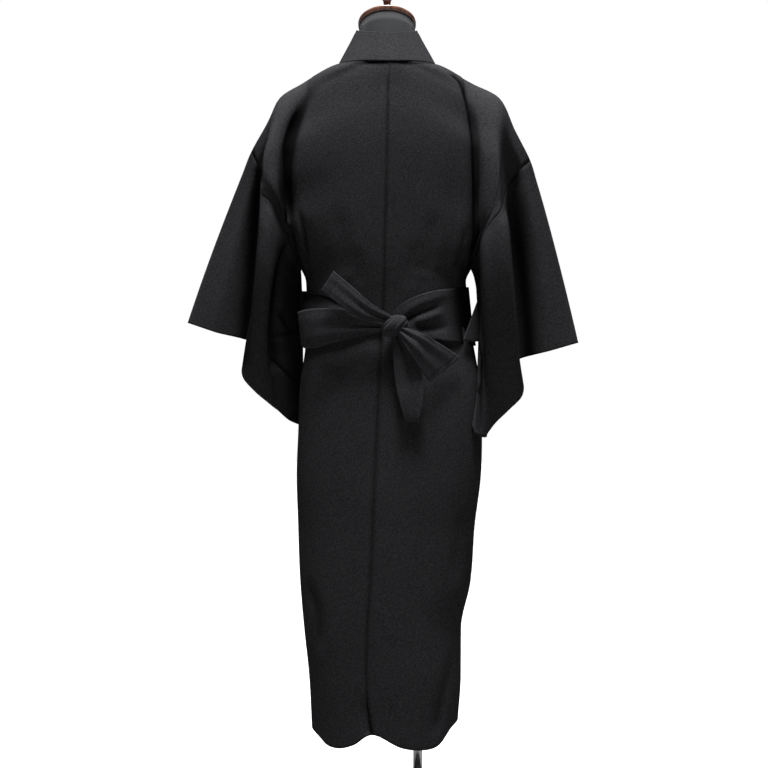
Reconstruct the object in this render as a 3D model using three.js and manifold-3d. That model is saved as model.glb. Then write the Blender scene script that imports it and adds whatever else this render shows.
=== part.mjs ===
// A yukata in plain black cloth, tied with a soft belt, on a limbless dress form.
// Millimetres, +Z up. The wearer's left is +X, the back is +Y, the front is -Y.
// The origin is on the floor under the middle of the torso.
import * as THREE from 'three';
import { mergeVertices } from 'three/addons/utils/BufferGeometryUtils.js';
import Module from 'manifold-3d';

// ---- driving sizes -----------------------------------------------------------
const CLOTH = 2.0;            // thickness of the cloth wall
const SEAM_GAP = 0.36;        // air between two pieces at a seam
const EDGE_SPREAD = 0.25;     // the same at a corner where more than two pieces meet
const SLIVER = 0.02;          // facets thinner than this are taken out after a cut
const OVERLAP_INSET = 9;      // how far the under front lies inside the upper one
const SQUARENESS = 2.3;       // exponent of the rounded torso sections
const SPINE_TOP = 1483;       // height of the collar seam at the back
const SLEEVE_ROWS = 6;        // rows of facets down each sleeve
const NECK_RADIUS = 55;
const NECK_TOP = 1566;        // height of the middle of the sloped neck top
const NECK_SLOPE = 0.37;      // rise of the neck top per millimetre towards the back
const CAP_THICKNESS = 12;
const POLE_RADIUS = 9;
const POLE_X = -60;           // the pole stands to the right of the torso's middle
const BASE_RADIUS = 180;
const BASE_THICKNESS = 8;
const FORM_BOTTOM = 742;      // underside of the torso form

const vec = (x, y, z) => new THREE.Vector3(x, y, z);
const lerp = THREE.MathUtils.lerp;
const clamp = THREE.MathUtils.clamp;
const smooth = THREE.MathUtils.smoothstep;

// Turns rows of values into objects with the given column names.
function table(columns, rows) {
  return rows.map((row) => Object.fromEntries(columns.map((name, i) => [name, row[i]])));
}

// Reads one column of a table at a height, with a straight line between its rows.
function column(rows, name, z) {
  if (z >= rows[0].z) return rows[0][name];
  for (let i = 1; i < rows.length; i += 1) {
    if (z >= rows[i].z) {
      const t = (rows[i - 1].z - z) / (rows[i - 1].z - rows[i].z);
      return lerp(rows[i - 1][name], rows[i][name], t);
    }
  }
  return rows[rows.length - 1][name];
}

// ---- the garment's sections --------------------------------------------------
// Half widths to the wearer's left and right, depth of the back and of the front, and
// where the centre back seam runs.
const SECTIONS = table(['z', 'left', 'right', 'back', 'front', 'spine'], [
  [1483, 150, 150, 88, 84, -3],
  [1425, 196, 190, 102, 98, -2],
  [1365, 202, 186, 111, 114, -1],
  [1300, 204, 182, 114, 120, 0],
  [1200, 196, 180, 113, 120, 2],
  [1094, 172, 163, 108, 117, 5],
  [1040, 159, 156, 104, 114, 6],
  [995, 156, 157, 103, 113, 8],
  [940, 158, 163, 107, 116, 11],
  [870, 168, 177, 115, 121, 15],
  [777, 174, 186, 121, 125, 19],
  [690, 177, 184, 121, 124, 23],
  [590, 173, 171, 119, 121, 27],
  [480, 168, 162, 117, 118, 32],
  [390, 161, 144, 115, 115, 38],
  [300, 152, 144, 113, 113, 40],
  [170, 146, 138, 110, 111, 28],
]);

// A point on the section at a height. Turn 0 is the middle of the back, 90 the left side,
// -90 the right side and 180 the middle of the front.
function sectionPoint(z, turn, grow = 0) {
  const angle = THREE.MathUtils.degToRad(turn);
  const s = Math.sin(angle);
  const c = Math.cos(angle);
  const half = column(SECTIONS, s >= 0 ? 'left' : 'right', z) + grow;
  const deep = column(SECTIONS, c >= 0 ? 'back' : 'front', z) + grow;
  const power = 2 / SQUARENESS;
  return vec(
    half * Math.sign(s) * Math.abs(s) ** power,
    deep * Math.sign(c) * Math.abs(c) ** power,
    z,
  );
}

// The turn at which the section has a given x, on the back or on the front.
function turnAt(z, x, front) {
  const half = column(SECTIONS, x >= 0 ? 'left' : 'right', z);
  const s = clamp(Math.abs(x) / half, 0, 1) ** (SQUARENESS / 2);
  const angle = THREE.MathUtils.radToDeg(Math.asin(s));
  return Math.sign(x || 1) * (front ? 180 - angle : angle);
}

// The hem: lowest at the back panels, drawn up at the centre seam and at the right side.
function hemHeight(x, y) {
  const notch = 32 * Math.exp(-(((x - 28) / 22) ** 2)) * smooth(y, 20, 100);
  const side = x < 0 ? 42 * smooth(-x, 70, 140) : 8 * smooth(x, 90, 140);
  return 172 + notch + side * (1 - smooth(Math.abs(y), 60, 110)) + 10 * smooth(-y, 40, 100);
}

// ---- the folds of the shoulders and the sleeves ------------------------------
// Each row is one thread line across the garment. It leaves the spine at a height, dips
// into the fold beside the shoulder blade, climbs to the ridge of the dropped shoulder,
// crosses the armhole seam and runs down the sleeve by its middle to its lower edge.
const LINE_COLUMNS = ['spine', 'fold', 'ridge', 'seam', 'mid', 'end'];
const LEFT_LINES = table(LINE_COLUMNS, [
  [1490, [149, 0, 1465], [206, 0, 1428], [267, -8, 1323], [333, -14, 1154], [392, -16, 987]],
  [1483, [169, 38, 1417], [213, 38, 1401], [256, 5, 1300], [297, 7, 1138], [339, 5, 969]],
  [1425, [185, 52, 1366], [224, 72, 1343], [245, 14, 1276], [258, 12, 1117], [267, 10, 949]],
  [1367, [192, 58, 1317], [234, 90, 1289], [240, 92, 1230], [248, 104, 1083], [279, 40, 881]],
  [1309, [195, 58, 1269], [213, 98, 1239], [221, 92, 1211], [235, 102, 1064], [256, 34, 853]],
  [1251, [194, 54, 1221], [198, 84, 1202], [205, 76, 1180], [221, 90, 1046], [235, 22, 834]],
  [1200, [186, 62, 1176], [190, 60, 1163], [192, 52, 1148], [212, 48, 1029], [214, 8, 816]],
  [1150, [174, 62, 1142], [178, 44, 1132], [180, 24, 1122], [197, 22, 1021], [194, -14, 797]],
  [1094, [148, 60, 1096], [162, 40, 1097], [173, 0, 1100], [178, -14, 1030], [174, -42, 784]],
]);
const RIGHT_LINES = table(LINE_COLUMNS, [
  [1490, [-149, 0, 1465], [-219, 0, 1426], [-281, -8, 1305], [-327, -14, 1145], [-376, -16, 948]],
  [1483, [-158, 40, 1416], [-216, 40, 1397], [-264, 5, 1290], [-297, 7, 1126], [-320, 5, 932]],
  [1425, [-163, 54, 1366], [-212, 72, 1343], [-240, 14, 1260], [-252, 12, 1100], [-260, 10, 914]],
  [1367, [-167, 58, 1317], [-211, 92, 1283], [-214, 100, 1195], [-232, 106, 1054], [-261, 42, 844]],
  [1309, [-169, 58, 1263], [-205, 98, 1222], [-198, 98, 1174], [-210, 102, 1041], [-236, 42, 817]],
  [1251, [-171, 56, 1212], [-190, 94, 1186], [-184, 84, 1153], [-186, 92, 1034], [-212, 42, 794]],
  [1200, [-168, 60, 1164], [-178, 72, 1150], [-177, 58, 1132], [-182, 62, 1020], [-196, 44, 774]],
  [1150, [-162, 60, 1124], [-168, 48, 1114], [-170, 28, 1112], [-184, 40, 1008], [-188, 52, 764]],
  [1094, [-142, 60, 1094], [-154, 40, 1094], [-164, 0, 1092], [-186, 8, 992], [-176, 62, 772]],
]);
// The last line in front of the armpit keeps clear of the hip.
const LEFT_UNDERARM = { seam: [184, -36, 1116], mid: [198, -50, 1024], end: [195, -22, 797] };
const RIGHT_UNDERARM = { seam: [-174, -38, 1106], mid: [-198, -32, 1008], end: [-190, 45, 764] };
const MID_DEPTH = -14;        // the sleeves hang about this plane
const FRONT_FOLD = 0.85;      // the folds in front are this much of those behind
const CUFF_LINES = 5;         // lines that end at the open cuff; the rest end at the bottom seam
const BOTTOM_GAP = 6;         // room between the two layers at the sleeve's bottom seam

// The collar stands round the neck behind, then runs down the front. Each row gives its
// seam and its free edge; from the row with a height of 1265 down it lies on the front.
const COLLAR_NECK = { free: 58.6, seamWide: 92, seamDeep: 85, freeLow: 1540, freeRise: 17 };
const COLLAR = table(['seam', 'free'], [
  [[92, 3, 1490], [58.6, 0, 1557]],
  [[90, -34, 1473], [54, -34, 1535]],
  [[80, -68, 1436], [44, -66, 1492]],
  [[64, -98, 1386], [20, -98, 1430]],
  [[44, -114, 1330], [-8, -116, 1362]],
  [[20, -121, 1265], [-34, -121, 1290]],
  [[-4, -121, 1200], [-60, -116, 1216]],
  [[-27, -121, 1140], [-84, -107, 1148]],
  [[-48, -118, 1080], [-103, -97, 1083]],
  [[-64, -114, 1030], [-116, -90, 1032]],
  [[-80, -112, 975], [-128, -84, 976]],
  [[-95, -111, 915], [-140, -82, 916]],
  [[-106, -111, 860], [-150, -80, 861]],
]);
const COLLAR_ON_FRONT = 5;    // the row where it starts to lie on the front
const COLLAR_LIFT = 4;        // its free edge lies this far over the front
// Where each thread line meets the collar in front, counted in rows of the collar.
const FRONT_EDGE = [0, 0.35, 0.7, 1.2, 2, 3, 4, 5, 6, 7, 7.8, 8.8, 9.6, 10.6, 11.8];
const TIP_LINE = 7;           // the overlap panel's tip is at this thread line
const OVERLAP_SEAM_X = 12;    // the overlap panel's long seam runs beside the middle
// Below the collar's end the overlap panel has a free edge at these distances.
const OVERLAP_EDGE = table(['z', 'x'], [
  [777, -116], [690, -122], [590, -124], [480, -120], [390, -116], [300, -112], [170, -108],
]);

// ---- the belt ----------------------------------------------------------------
const BAND = table(['turn', 'top', 'bottom', 'grow'], [
  [-2, 998, 967, 5], [-9, 1000, 966, 5], [-17, 1016, 958, 5], [-30, 1032, 950, 5],
  [-50, 1044, 946, 5], [-70, 1052, 943, 5], [-90, 1056, 942, 5], [-110, 1054, 944, 6],
  [-130, 1050, 946, 10], [-150, 1046, 947, 10], [-170, 1043, 948, 9], [-190, 1042, 948, 8],
  [-210, 1043, 948, 7], [-230, 1044, 947, 6], [-250, 1046, 946, 5], [-270, 1046, 946, 5],
  [-290, 1044, 945, 5], [-310, 1038, 946, 5], [-330, 1024, 950, 5], [-343, 1012, 957, 5],
  [-351, 1000, 965, 5], [-358, 998, 967, 5],
]);
// The tied pieces: the upper and the lower edge of each, from the knot outwards.
const EDGES = ['upper', 'lower'];
const BOW_END_UPPER = table(EDGES, [
  [[-12, 131, 992], [-4, 131, 980]],
  [[30, 143, 1018], [45, 142, 988]],
  [[64, 140, 1048], [84, 139, 1011]],
  [[100, 131, 1079], [124, 128, 1043]],
]);
const BOW_END_LOWER = table(EDGES, [
  [[-28, 136, 974], [-20, 136, 960]],
  [[-64, 136, 962], [-38, 143, 930]],
  [[-98, 119, 944], [-58, 138, 900]],
  [[-140, 88, 918], [-80, 128, 871]],
]);
const BOW_LOOP = table(EDGES, [
  [[2, 127, 982], [4, 127, 966]],
  [[48, 133, 998], [56, 133, 955]],
  [[92, 125, 1008], [98, 123, 945]],
  [[132, 106, 1010], [132, 104, 938]],
  [[158, 82, 1006], [152, 80, 937]],
  [[164, 72, 1003], [158, 68, 940]],
  [[154, 70, 1003], [148, 66, 944]],
  [[122, 97, 1000], [120, 96, 948]],
  [[86, 113, 996], [86, 113, 952]],
  [[48, 119, 990], [50, 119, 958]],
  [[4, 121, 982], [6, 121, 970]],
]);
const BOW_LOOP_HANGING = table(EDGES, [
  [[-8, 130, 966], [-20, 130, 966]],
  [[-11, 131, 920], [-52, 130, 918]],
  [[-14, 133, 880], [-66, 131, 880]],
  [[-22, 136, 836], [-68, 134, 836]],
  [[-32, 134, 802], [-61, 133, 802]],
  [[-34, 129, 797], [-60, 128, 797]],
  [[-32, 125, 802], [-61, 124, 802]],
  [[-24, 125, 836], [-66, 123, 836]],
  [[-16, 124, 880], [-64, 122, 880]],
  [[-13, 121, 920], [-50, 119, 918]],
  [[-10, 120, 962], [-20, 120, 962]],
]);
const KNOT = { at: [-13, 127.5, 976], half: [27, 16.6, 21], lean: 12 };

// ---- the dress form ----------------------------------------------------------
const FORM = table(['z', 'half', 'back', 'front'], [
  [742, 146, 94, 96], [760, 152, 100, 102], [870, 152, 98, 104], [940, 142, 90, 98],
  [1000, 130, 86, 94], [1094, 142, 92, 102], [1200, 158, 98, 106], [1300, 168, 98, 104],
  [1365, 172, 90, 94], [1405, 170, 78, 78], [1425, 160, 70, 68], [1445, 143, 64, 60],
  [1462, 108, 58, 54], [1476, 82, 56, 52], [1492, 66, 55, 53], [1508, 57, 55, 55],
  [1525, 55, 55, 55],
]);
const FORM_SIDES = 36;

// ---- cloth panels ------------------------------------------------------------
// A panel is a grid of points with a normal at each, and becomes a wall of cloth.
class Panel {
  constructor(rows, closed = false) {
    this.rows = rows;
    this.closed = closed;
    this.measure();
  }

  // Normals from the points on each side, one sided at the panel's edges.
  measure() {
    const { rows, closed } = this;
    const last = rows.length - 1;
    this.normals = rows.map((row, i) => row.map((point, j) => {
      const count = row.length;
      const left = closed ? row[(j + count - 1) % count] : row[Math.max(j - 1, 0)];
      const right = closed ? row[(j + 1) % count] : row[Math.min(j + 1, count - 1)];
      const across = right.clone().sub(left);
      const along = rows[Math.min(i + 1, last)][j].clone().sub(rows[Math.max(i - 1, 0)][j]);
      return across.cross(along).normalize();
    }));
  }

  // A point of the panel with what sewing needs: its normal and its neighbour inside.
  ref(i, j, innerI, innerJ) {
    return {
      point: this.rows[i][j],
      inner: this.rows[innerI][innerJ].clone(),
      normal: this.normals[i][j],
    };
  }

  side(j, innerJ, from = 0, to = this.rows.length - 1) {
    const refs = [];
    for (let i = from; i <= to; i += 1) refs.push(this.ref(i, j, i, innerJ));
    return refs;
  }

  end(i, innerI) {
    return this.rows[i].map((point, j) => this.ref(i, j, innerI, j));
  }

  // Moves an edge point away from the panel by the spread.
  spreadPoint(i, j, spread) {
    const { rows, closed } = this;
    const point = rows[i][j].clone();
    const away = (other) => rows[i][j].clone().sub(other).setLength(spread);
    if (i === 0) point.add(away(rows[1][j]));
    if (i === rows.length - 1) point.add(away(rows[i - 1][j]));
    if (!closed && j === 0) point.add(away(rows[i][1]));
    if (!closed && j === rows[i].length - 1) point.add(away(rows[i][j - 1]));
    return point;
  }

  geometry(thickness = CLOTH, spread = 0) {
    const { rows, closed } = this;
    const count = rows[0].length;
    const layer = rows.length * count;
    const positions = [];
    [0.5, -0.5].forEach((part) => rows.forEach((row, i) => row.forEach((_, j) => {
      const moved = this.spreadPoint(i, j, spread).addScaledVector(this.normals[i][j], part * thickness);
      positions.push(moved.x, moved.y, moved.z);
    })));
    const faces = [];
    const quad = (a, b, c, d) => faces.push(a, b, c, a, c, d);
    const at = (i, j) => i * count + (j % count);
    const columns = closed ? count : count - 1;
    for (let i = 0; i < rows.length - 1; i += 1) {
      for (let j = 0; j < columns; j += 1) {
        const [a, b, c, d] = [at(i, j), at(i, j + 1), at(i + 1, j + 1), at(i + 1, j)];
        quad(a, b, c, d);
        faces.push(layer + a, layer + c, layer + b, layer + a, layer + d, layer + c);
      }
    }
    const rim = (a, b) => quad(b, a, layer + a, layer + b);
    const bottom = rows.length - 1;
    for (let j = 0; j < columns; j += 1) {
      rim(at(0, j), at(0, j + 1));
      rim(at(bottom, j + 1), at(bottom, j));
    }
    if (!closed) {
      for (let i = 0; i < bottom; i += 1) {
        rim(at(i + 1, 0), at(i, 0));
        rim(at(i, count - 1), at(i + 1, count - 1));
      }
    }
    return solid(positions, faces);
  }
}

// A closed body from points and triangles, turned so that its faces point out.
function solid(positions, faces) {
  let volume = 0;
  const corner = (index) => vec(...positions.slice(index * 3, index * 3 + 3));
  for (let f = 0; f < faces.length; f += 3) {
    const [a, b, c] = [0, 1, 2].map((k) => corner(faces[f + k]));
    volume += a.dot(b.cross(c));
  }
  if (volume < 0) {
    for (let f = 0; f < faces.length; f += 3) {
      [faces[f + 1], faces[f + 2]] = [faces[f + 2], faces[f + 1]];
    }
  }
  const geometry = new THREE.BufferGeometry();
  geometry.setAttribute('position', new THREE.Float32BufferAttribute(positions, 3));
  geometry.setIndex(faces);
  geometry.computeVertexNormals();
  return geometry;
}

// Sews two edges together: they share their normals and draw apart by the seam gap.
function sew(first, second) {
  const line = first.map(({ point }) => point.clone());
  const last = line.length - 1;
  first.forEach((a, k) => {
    const b = second[k];
    const along = line[Math.min(k + 1, last)].clone().sub(line[Math.max(k - 1, 0)]).normalize();
    const turned = a.normal.dot(b.normal) < 0 ? -1 : 1;
    const normal = a.normal.clone().addScaledVector(b.normal, turned);
    normal.addScaledVector(along, -normal.dot(along)).normalize();
    const away = normal.clone().cross(along).normalize();
    const lean = away.dot(a.inner.clone().sub(a.point).normalize())
      - away.dot(b.inner.clone().sub(b.point).normalize());
    if (lean < 0) away.negate();
    a.normal.copy(normal);
    b.normal.copy(normal).multiplyScalar(turned);
    a.point.addScaledVector(away, SEAM_GAP / 2);
    b.point.addScaledVector(away, -SEAM_GAP / 2);
  });
}

// ---- the lines of one side, with the front ones made from the back ones -------
const toFront = ([x, y, z]) => [x, MID_DEPTH - (y - MID_DEPTH) * FRONT_FOLD, z];

// Two more lines round the shoulder, between the first one and the second.
function thickened(lines) {
  const between = [1 / 3, 2 / 3].map((t) => {
    const line = { spine: SPINE_TOP };
    LINE_COLUMNS.slice(1).forEach((name) => {
      line[name] = lines[0][name].map((value, i) => lerp(value, lines[1][name][i], t));
    });
    const round = Math.sin(Math.PI * t);
    line.fold[2] += 9 * round;
    line.ridge[2] += 7 * round;
    return line;
  });
  return [lines[0], ...between, ...lines.slice(1)];
}

function frontLines(lines, underarm) {
  return lines.map((line, k) => {
    if (k === lines.length - 2) {
      return { ...line, fold: toFront(line.fold), ridge: toFront(line.ridge), ...underarm };
    }
    const front = { spine: line.spine };
    LINE_COLUMNS.slice(1).forEach((name) => {
      const shared = k === 0 || (k === lines.length - 1 && name !== 'fold' && name !== 'ridge');
      front[name] = shared ? line[name] : toFront(line[name]);
      if (name === 'end' && k >= CUFF_LINES && !shared) {
        front.end = [line.end[0], line.end[1] - BOTTOM_GAP, line.end[2]];
      }
    });
    return front;
  });
}

// The points of one thread line on the body, from its inner end to the armhole seam.
function bodyRow(inner, line, facing) {
  const start = inner.clone();
  const fold = vec(...line.fold);
  const ridge = vec(...line.ridge);
  const seam = vec(...line.seam);
  const row = [start];
  [0.25, 0.5, 0.75, 0.92].forEach((t) => {
    const point = start.clone().lerp(fold, t);
    point.y = lerp(start.y, fold.y + facing * 12, t ** 2.4);
    point.z = lerp(start.z, fold.z, t ** 1.4);
    row.push(point);
  });
  const lip = fold.clone().lerp(ridge, 0.3);
  lip.y = lerp(fold.y, ridge.y, 0.62);
  row.push(fold, lip, ridge, ridge.clone().lerp(seam, 0.5), seam);
  return row;
}
const ROW_PARTS = [0, 0.17, 0.35, 0.52, 0.64, 0.7, 0.77, 0.85, 0.93, 1];
const LOWER_HEIGHTS = [1040, 995, 940, 870, 777, 690, 590, 480, 390, 300, 170];
const HEM_ROW = LOWER_HEIGHTS[LOWER_HEIGHTS.length - 1];

// A row below the armpit, between two turns about the body.
function ringRow(z, from, to, grow) {
  return ROW_PARTS.map((part) => {
    const turn = lerp(from, to, part);
    const inset = typeof grow === 'function' ? grow(turn, z) : grow;
    const point = sectionPoint(z, turn, inset);
    if (z === HEM_ROW) point.z = hemHeight(point.x, point.y);
    return point;
  });
}

// The under front is drawn in more and more from the side seam to its edge.
const frontInset = (side) => (turn, z) => (
  side > 0 ? 0 : -OVERLAP_INSET * smooth(Math.abs(turn), 92, 125) * (1 - smooth(z, 1380, 1460))
);

// The collar at a count of rows. From -1 to 0 it goes round the neck from the middle of
// the back; the right half lies under the left one in front.
function collarAt(count, side) {
  let seam;
  let free;
  if (count < 0) {
    const angle = (-count * Math.PI) / 2;
    const { seamWide, seamDeep, freeLow, freeRise } = COLLAR_NECK;
    seam = vec(seamWide * Math.cos(angle), 3 + seamDeep * Math.sin(angle), SPINE_TOP + 7 * (1 + count));
    free = vec(COLLAR_NECK.free * Math.cos(angle), COLLAR_NECK.free * Math.sin(angle),
      freeLow + freeRise * (1 + count));
    if (count === -1) seam.x = side * column(SECTIONS, 'spine', SPINE_TOP);
  } else {
    const low = Math.min(Math.floor(count), COLLAR.length - 2);
    const part = count - low;
    seam = vec(...COLLAR[low].seam).lerp(vec(...COLLAR[low + 1].seam), part);
    free = vec(...COLLAR[low].free).lerp(vec(...COLLAR[low + 1].free), part);
  }
  seam.x *= side;
  free.x *= side;
  if (count >= COLLAR_ON_FRONT) {
    seam = onFront(side, seam.x, seam.z, 0);
    free = onFront(side, free.x, free.z, COLLAR_LIFT);
  } else if (side < 0) {
    seam.y += OVERLAP_INSET * smooth(-seam.y, 55, 110);
    free.y += OVERLAP_INSET * smooth(-free.y, 55, 110);
  }
  return { seam, free };
}

// A point on the front at an x and a height, lifted off the cloth.
function onFront(side, x, z, lift) {
  const turn = turnAt(z, x, true);
  const full = side < 0 && x > 0 ? turn - 360 : turn;
  return sectionPoint(z, turn, lift + frontInset(side)(full, z));
}

// Where the front panel ends: the collar seam down to the overlap's tip, then a straight
// seam to the hem.
function frontInner(side, k) {
  const { seam } = collarAt(FRONT_EDGE[k], side);
  return k <= TIP_LINE ? seam : onFront(side, side * OVERLAP_SEAM_X, seam.z, 0);
}

// The neckline from the shoulder to the middle of the back, in collar rows.
const NECKLINE = [0, -1 / 3, -2 / 3, -1];

function makeBody(side) {
  const lines = thickened(side > 0 ? LEFT_LINES : RIGHT_LINES);
  const fronts = frontLines(lines, side > 0 ? LEFT_UNDERARM : RIGHT_UNDERARM);
  const neckline = NECKLINE.map((count) => collarAt(count, side).seam);
  const rows = [];
  [...LOWER_HEIGHTS].reverse().forEach((z) => {
    rows.push(ringRow(z, turnAt(z, column(SECTIONS, 'spine', z), false), side * 90, 0));
  });
  for (let k = lines.length - 1; k > 0; k -= 1) {
    const z = lines[k].spine;
    const onSpine = vec(column(SECTIONS, 'spine', z), column(SECTIONS, 'back', z), z);
    rows.push(bodyRow(neckline[k] ?? onSpine, lines[k], 1));
  }
  rows.push(bodyRow(neckline[0], lines[0], 0));
  for (let k = 1; k < lines.length; k += 1) {
    rows.push(bodyRow(frontInner(side, k), fronts[k], -1));
  }
  LOWER_HEIGHTS.forEach((z) => {
    const seamTurn = turnAt(z, side * OVERLAP_SEAM_X, true);
    rows.push(ringRow(z, seamTurn, side * 90, frontInset(side)));
  });
  return new Panel(rows);
}

const BACK_ROWS = LOWER_HEIGHTS.length;             // rows below the armpit, behind
const LINE_ROWS = LEFT_LINES.length + 2;            // lines from the shoulder to the armpit
const SHOULDER_ROW = BACK_ROWS + LINE_ROWS - 1;     // the row along the shoulder
const BACK_ARMPIT = BACK_ROWS;
const FRONT_ARMPIT = SHOULDER_ROW + LINE_ROWS - 1;

// The sleeve is a tube: round it from the front of the armpit over the shoulder fold to
// the back of the armpit, and along it from the armhole to its lower edge.
function makeSleeve(side) {
  const lines = thickened(side > 0 ? LEFT_LINES : RIGHT_LINES);
  const fronts = frontLines(lines, side > 0 ? LEFT_UNDERARM : RIGHT_UNDERARM);
  const around = [...fronts.slice(1, -1).reverse(), ...lines];
  const rows = [];
  for (let i = 0; i <= SLEEVE_ROWS; i += 1) {
    const t = i / SLEEVE_ROWS;
    rows.push(around.map((line) => {
      const curve = new THREE.QuadraticBezierCurve3(
        vec(...line.seam),
        vec(...line.mid).multiplyScalar(2)
          .addScaledVector(vec(...line.seam), -0.5).addScaledVector(vec(...line.end), -0.5),
        vec(...line.end),
      );
      return curve.getPoint(t);
    }));
  }
  return new Panel(rows, true);
}

// ---- collar and overlap panels ------------------------------------------------
const COLLAR_STOPS = [...NECKLINE.slice(1).reverse(), ...FRONT_EDGE];

function makeCollar(side) {
  return new Panel(COLLAR_STOPS.map((count) => {
    const { seam, free } = collarAt(count, side);
    const middle = seam.clone().lerp(free, 1 / 2);
    if (count >= COLLAR_ON_FRONT) middle.y = onFront(side, middle.x, middle.z, COLLAR_LIFT - 1).y;
    return [seam, middle, free];
  }));
}

// The overlap panel, from its tip beside the collar to the hem.
const OVERLAP_PARTS = [0, 0.25, 0.5, 0.75, 1];
const TIP_START = 0.2;        // the tip is cut square this far down its first row
function makeOverlap(side) {
  const across = (from, to, height) => OVERLAP_PARTS.map((part) => {
    const z = lerp(from.z, to.z, part);
    return height ? onFront(side, lerp(from.x, to.x, part), z, 0) : from.clone().lerp(to, part);
  });
  const rows = [];
  for (let k = TIP_LINE + 1; k < FRONT_EDGE.length; k += 1) {
    rows.push(across(frontInner(side, k), collarAt(FRONT_EDGE[k], side).seam, true));
  }
  OVERLAP_EDGE.forEach(({ z, x }) => {
    const row = across(vec(side * OVERLAP_SEAM_X, 0, z), vec(side * x, 0, z), true);
    if (z === HEM_ROW) row.forEach((point) => point.setZ(hemHeight(point.x, point.y)));
    rows.push(row);
  });
  const tip = frontInner(side, TIP_LINE);
  const first = rows[0].map((point) => tip.clone().lerp(point, TIP_START));
  return new Panel([first, ...rows]);
}

const body = { left: makeBody(1), right: makeBody(-1) };
const sleeve = { left: makeSleeve(1), right: makeSleeve(-1) };
const collar = { left: makeCollar(1), right: makeCollar(-1) };
const overlap = { left: makeOverlap(1), right: makeOverlap(-1) };
const SPINE_ROWS = SHOULDER_ROW - NECKLINE.length + 1;
sew(body.left.side(0, 1, 0, SPINE_ROWS), body.right.side(0, 1, 0, SPINE_ROWS));

function sewFront(panel, okumi, band) {
  const inner = panel.side(0, 1);
  const okumiLast = OVERLAP_PARTS.length - 1;
  sew(inner.slice(SHOULDER_ROW + TIP_LINE + 1), okumi.side(0, 1).slice(1));
  const beside = okumi.side(okumiLast, okumiLast - 1);
  const collarEdge = band.side(0, 1);
  const onBody = SHOULDER_ROW - SPINE_ROWS + TIP_LINE + 1;
  const outer = [...inner.slice(SPINE_ROWS, SPINE_ROWS + onBody),
    ...beside.slice(1, 1 + collarEdge.length - onBody)];
  sew(outer, collarEdge);
}
sewFront(body.left, overlap.left, collar.left);
sewFront(body.right, overlap.right, collar.right);
sew(collar.left.end(0, 1), collar.right.end(0, 1));

// The tube's points follow the body's rows from the front armpit round to the back one.
function sewArmhole(panel, tube) {
  const last = ROW_PARTS.length - 1;
  const edge = panel.side(last, last - 1);
  const count = edge.length;
  const loop = tube.end(0, 1);
  sew(edge.slice(BACK_ARMPIT, FRONT_ARMPIT).reverse(), loop);
  sew(edge.slice(0, BACK_ARMPIT + 1), edge.slice(count - BACK_ARMPIT - 1).reverse());
}
sewArmhole(body.left, sleeve.left);
sewArmhole(body.right, sleeve.right);

// ---- cutting a piece clear of its neighbours ---------------------------------
const wasm = await Module();
wasm.setup();

function manifoldOf(geometry) {
  const bare = geometry.clone();
  Object.keys(bare.attributes).filter((name) => name !== 'position')
    .forEach((name) => bare.deleteAttribute(name));
  const merged = mergeVertices(bare, 1e-5);
  return new wasm.Manifold(new wasm.Mesh({
    numProp: 3,
    vertProperties: new Float32Array(merged.attributes.position.array),
    triVerts: new Uint32Array(merged.index.array),
  }));
}

// The piece without what comes within the seam gap of its neighbours. A neighbour is given
// as its own shape and as one grown by the gap.
function trimmed(piece, neighbours) {
  let shape = manifoldOf(piece);
  neighbours.flat().forEach((neighbour) => {
    shape = shape.subtract(manifoldOf(neighbour));
  });
  const largest = (from) => from.decompose().sort((a, b) => b.volume() - a.volume())[0];
  const { vertProperties, triVerts } = largest(largest(shape).simplify(SLIVER)).getMesh();
  return solid(Array.from(vertProperties), Array.from(triVerts));
}
const grown = (panel) => [panel.geometry(), panel.geometry(CLOTH + 2 * SEAM_GAP, EDGE_SPREAD)];

// ---- belt, form and stand ----------------------------------------------------
function makeBand() {
  const rows = BAND.map(({ turn, top, bottom, grow }) => [0, 0.33, 0.67, 1].map((part) => {
    const z = lerp(bottom, top, part);
    return sectionPoint(z, turn, grow);
  }));
  return new Panel(rows);
}

// A tied piece between its two edges, a little full in the middle.
function ribbon(rows, fullness) {
  return new Panel(rows.map(({ upper, lower }) => [0, 0.33, 0.67, 1].map((part) => {
    const point = vec(...upper).lerp(vec(...lower), part);
    point.y += fullness * Math.sin(Math.PI * part);
    return point;
  })));
}

// A closed body through rings of points, with a flat or pointed cap at each end.
function ringSolid(rings) {
  const count = rings[0].length;
  const positions = rings.flat().flatMap((point) => point.toArray());
  const faces = [];
  for (let i = 0; i < rings.length - 1; i += 1) {
    for (let j = 0; j < count; j += 1) {
      const next = (j + 1) % count;
      const [a, b] = [i * count + j, i * count + next];
      faces.push(a, b, b + count, a, b + count, a + count);
    }
  }
  [[0, 1], [rings.length - 1, -1]].forEach(([ring, way]) => {
    const middle = vec(0, 0, 0);
    rings[ring].forEach((point) => middle.addScaledVector(point, 1 / count));
    const centre = positions.length / 3;
    positions.push(middle.x, middle.y, middle.z);
    for (let j = 0; j < count; j += 1) {
      const a = ring * count + j;
      const b = ring * count + ((j + 1) % count);
      if (way > 0) faces.push(centre, b, a);
      else faces.push(centre, a, b);
    }
  });
  return solid(positions, faces);
}

function formRing(z, half, back, front, slope = 0, rise = 0) {
  return Array.from({ length: FORM_SIDES }, (_, j) => {
    const angle = (j / FORM_SIDES) * 2 * Math.PI;
    const power = z < 1500 ? 2 / SQUARENESS : 1;
    const c = Math.cos(angle);
    const s = Math.sin(angle);
    const x = half * Math.sign(c) * Math.abs(c) ** power;
    const y = (s > 0 ? back : front) * Math.sign(s) * Math.abs(s) ** power;
    return vec(x, y, z + rise + slope * y);
  });
}

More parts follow.
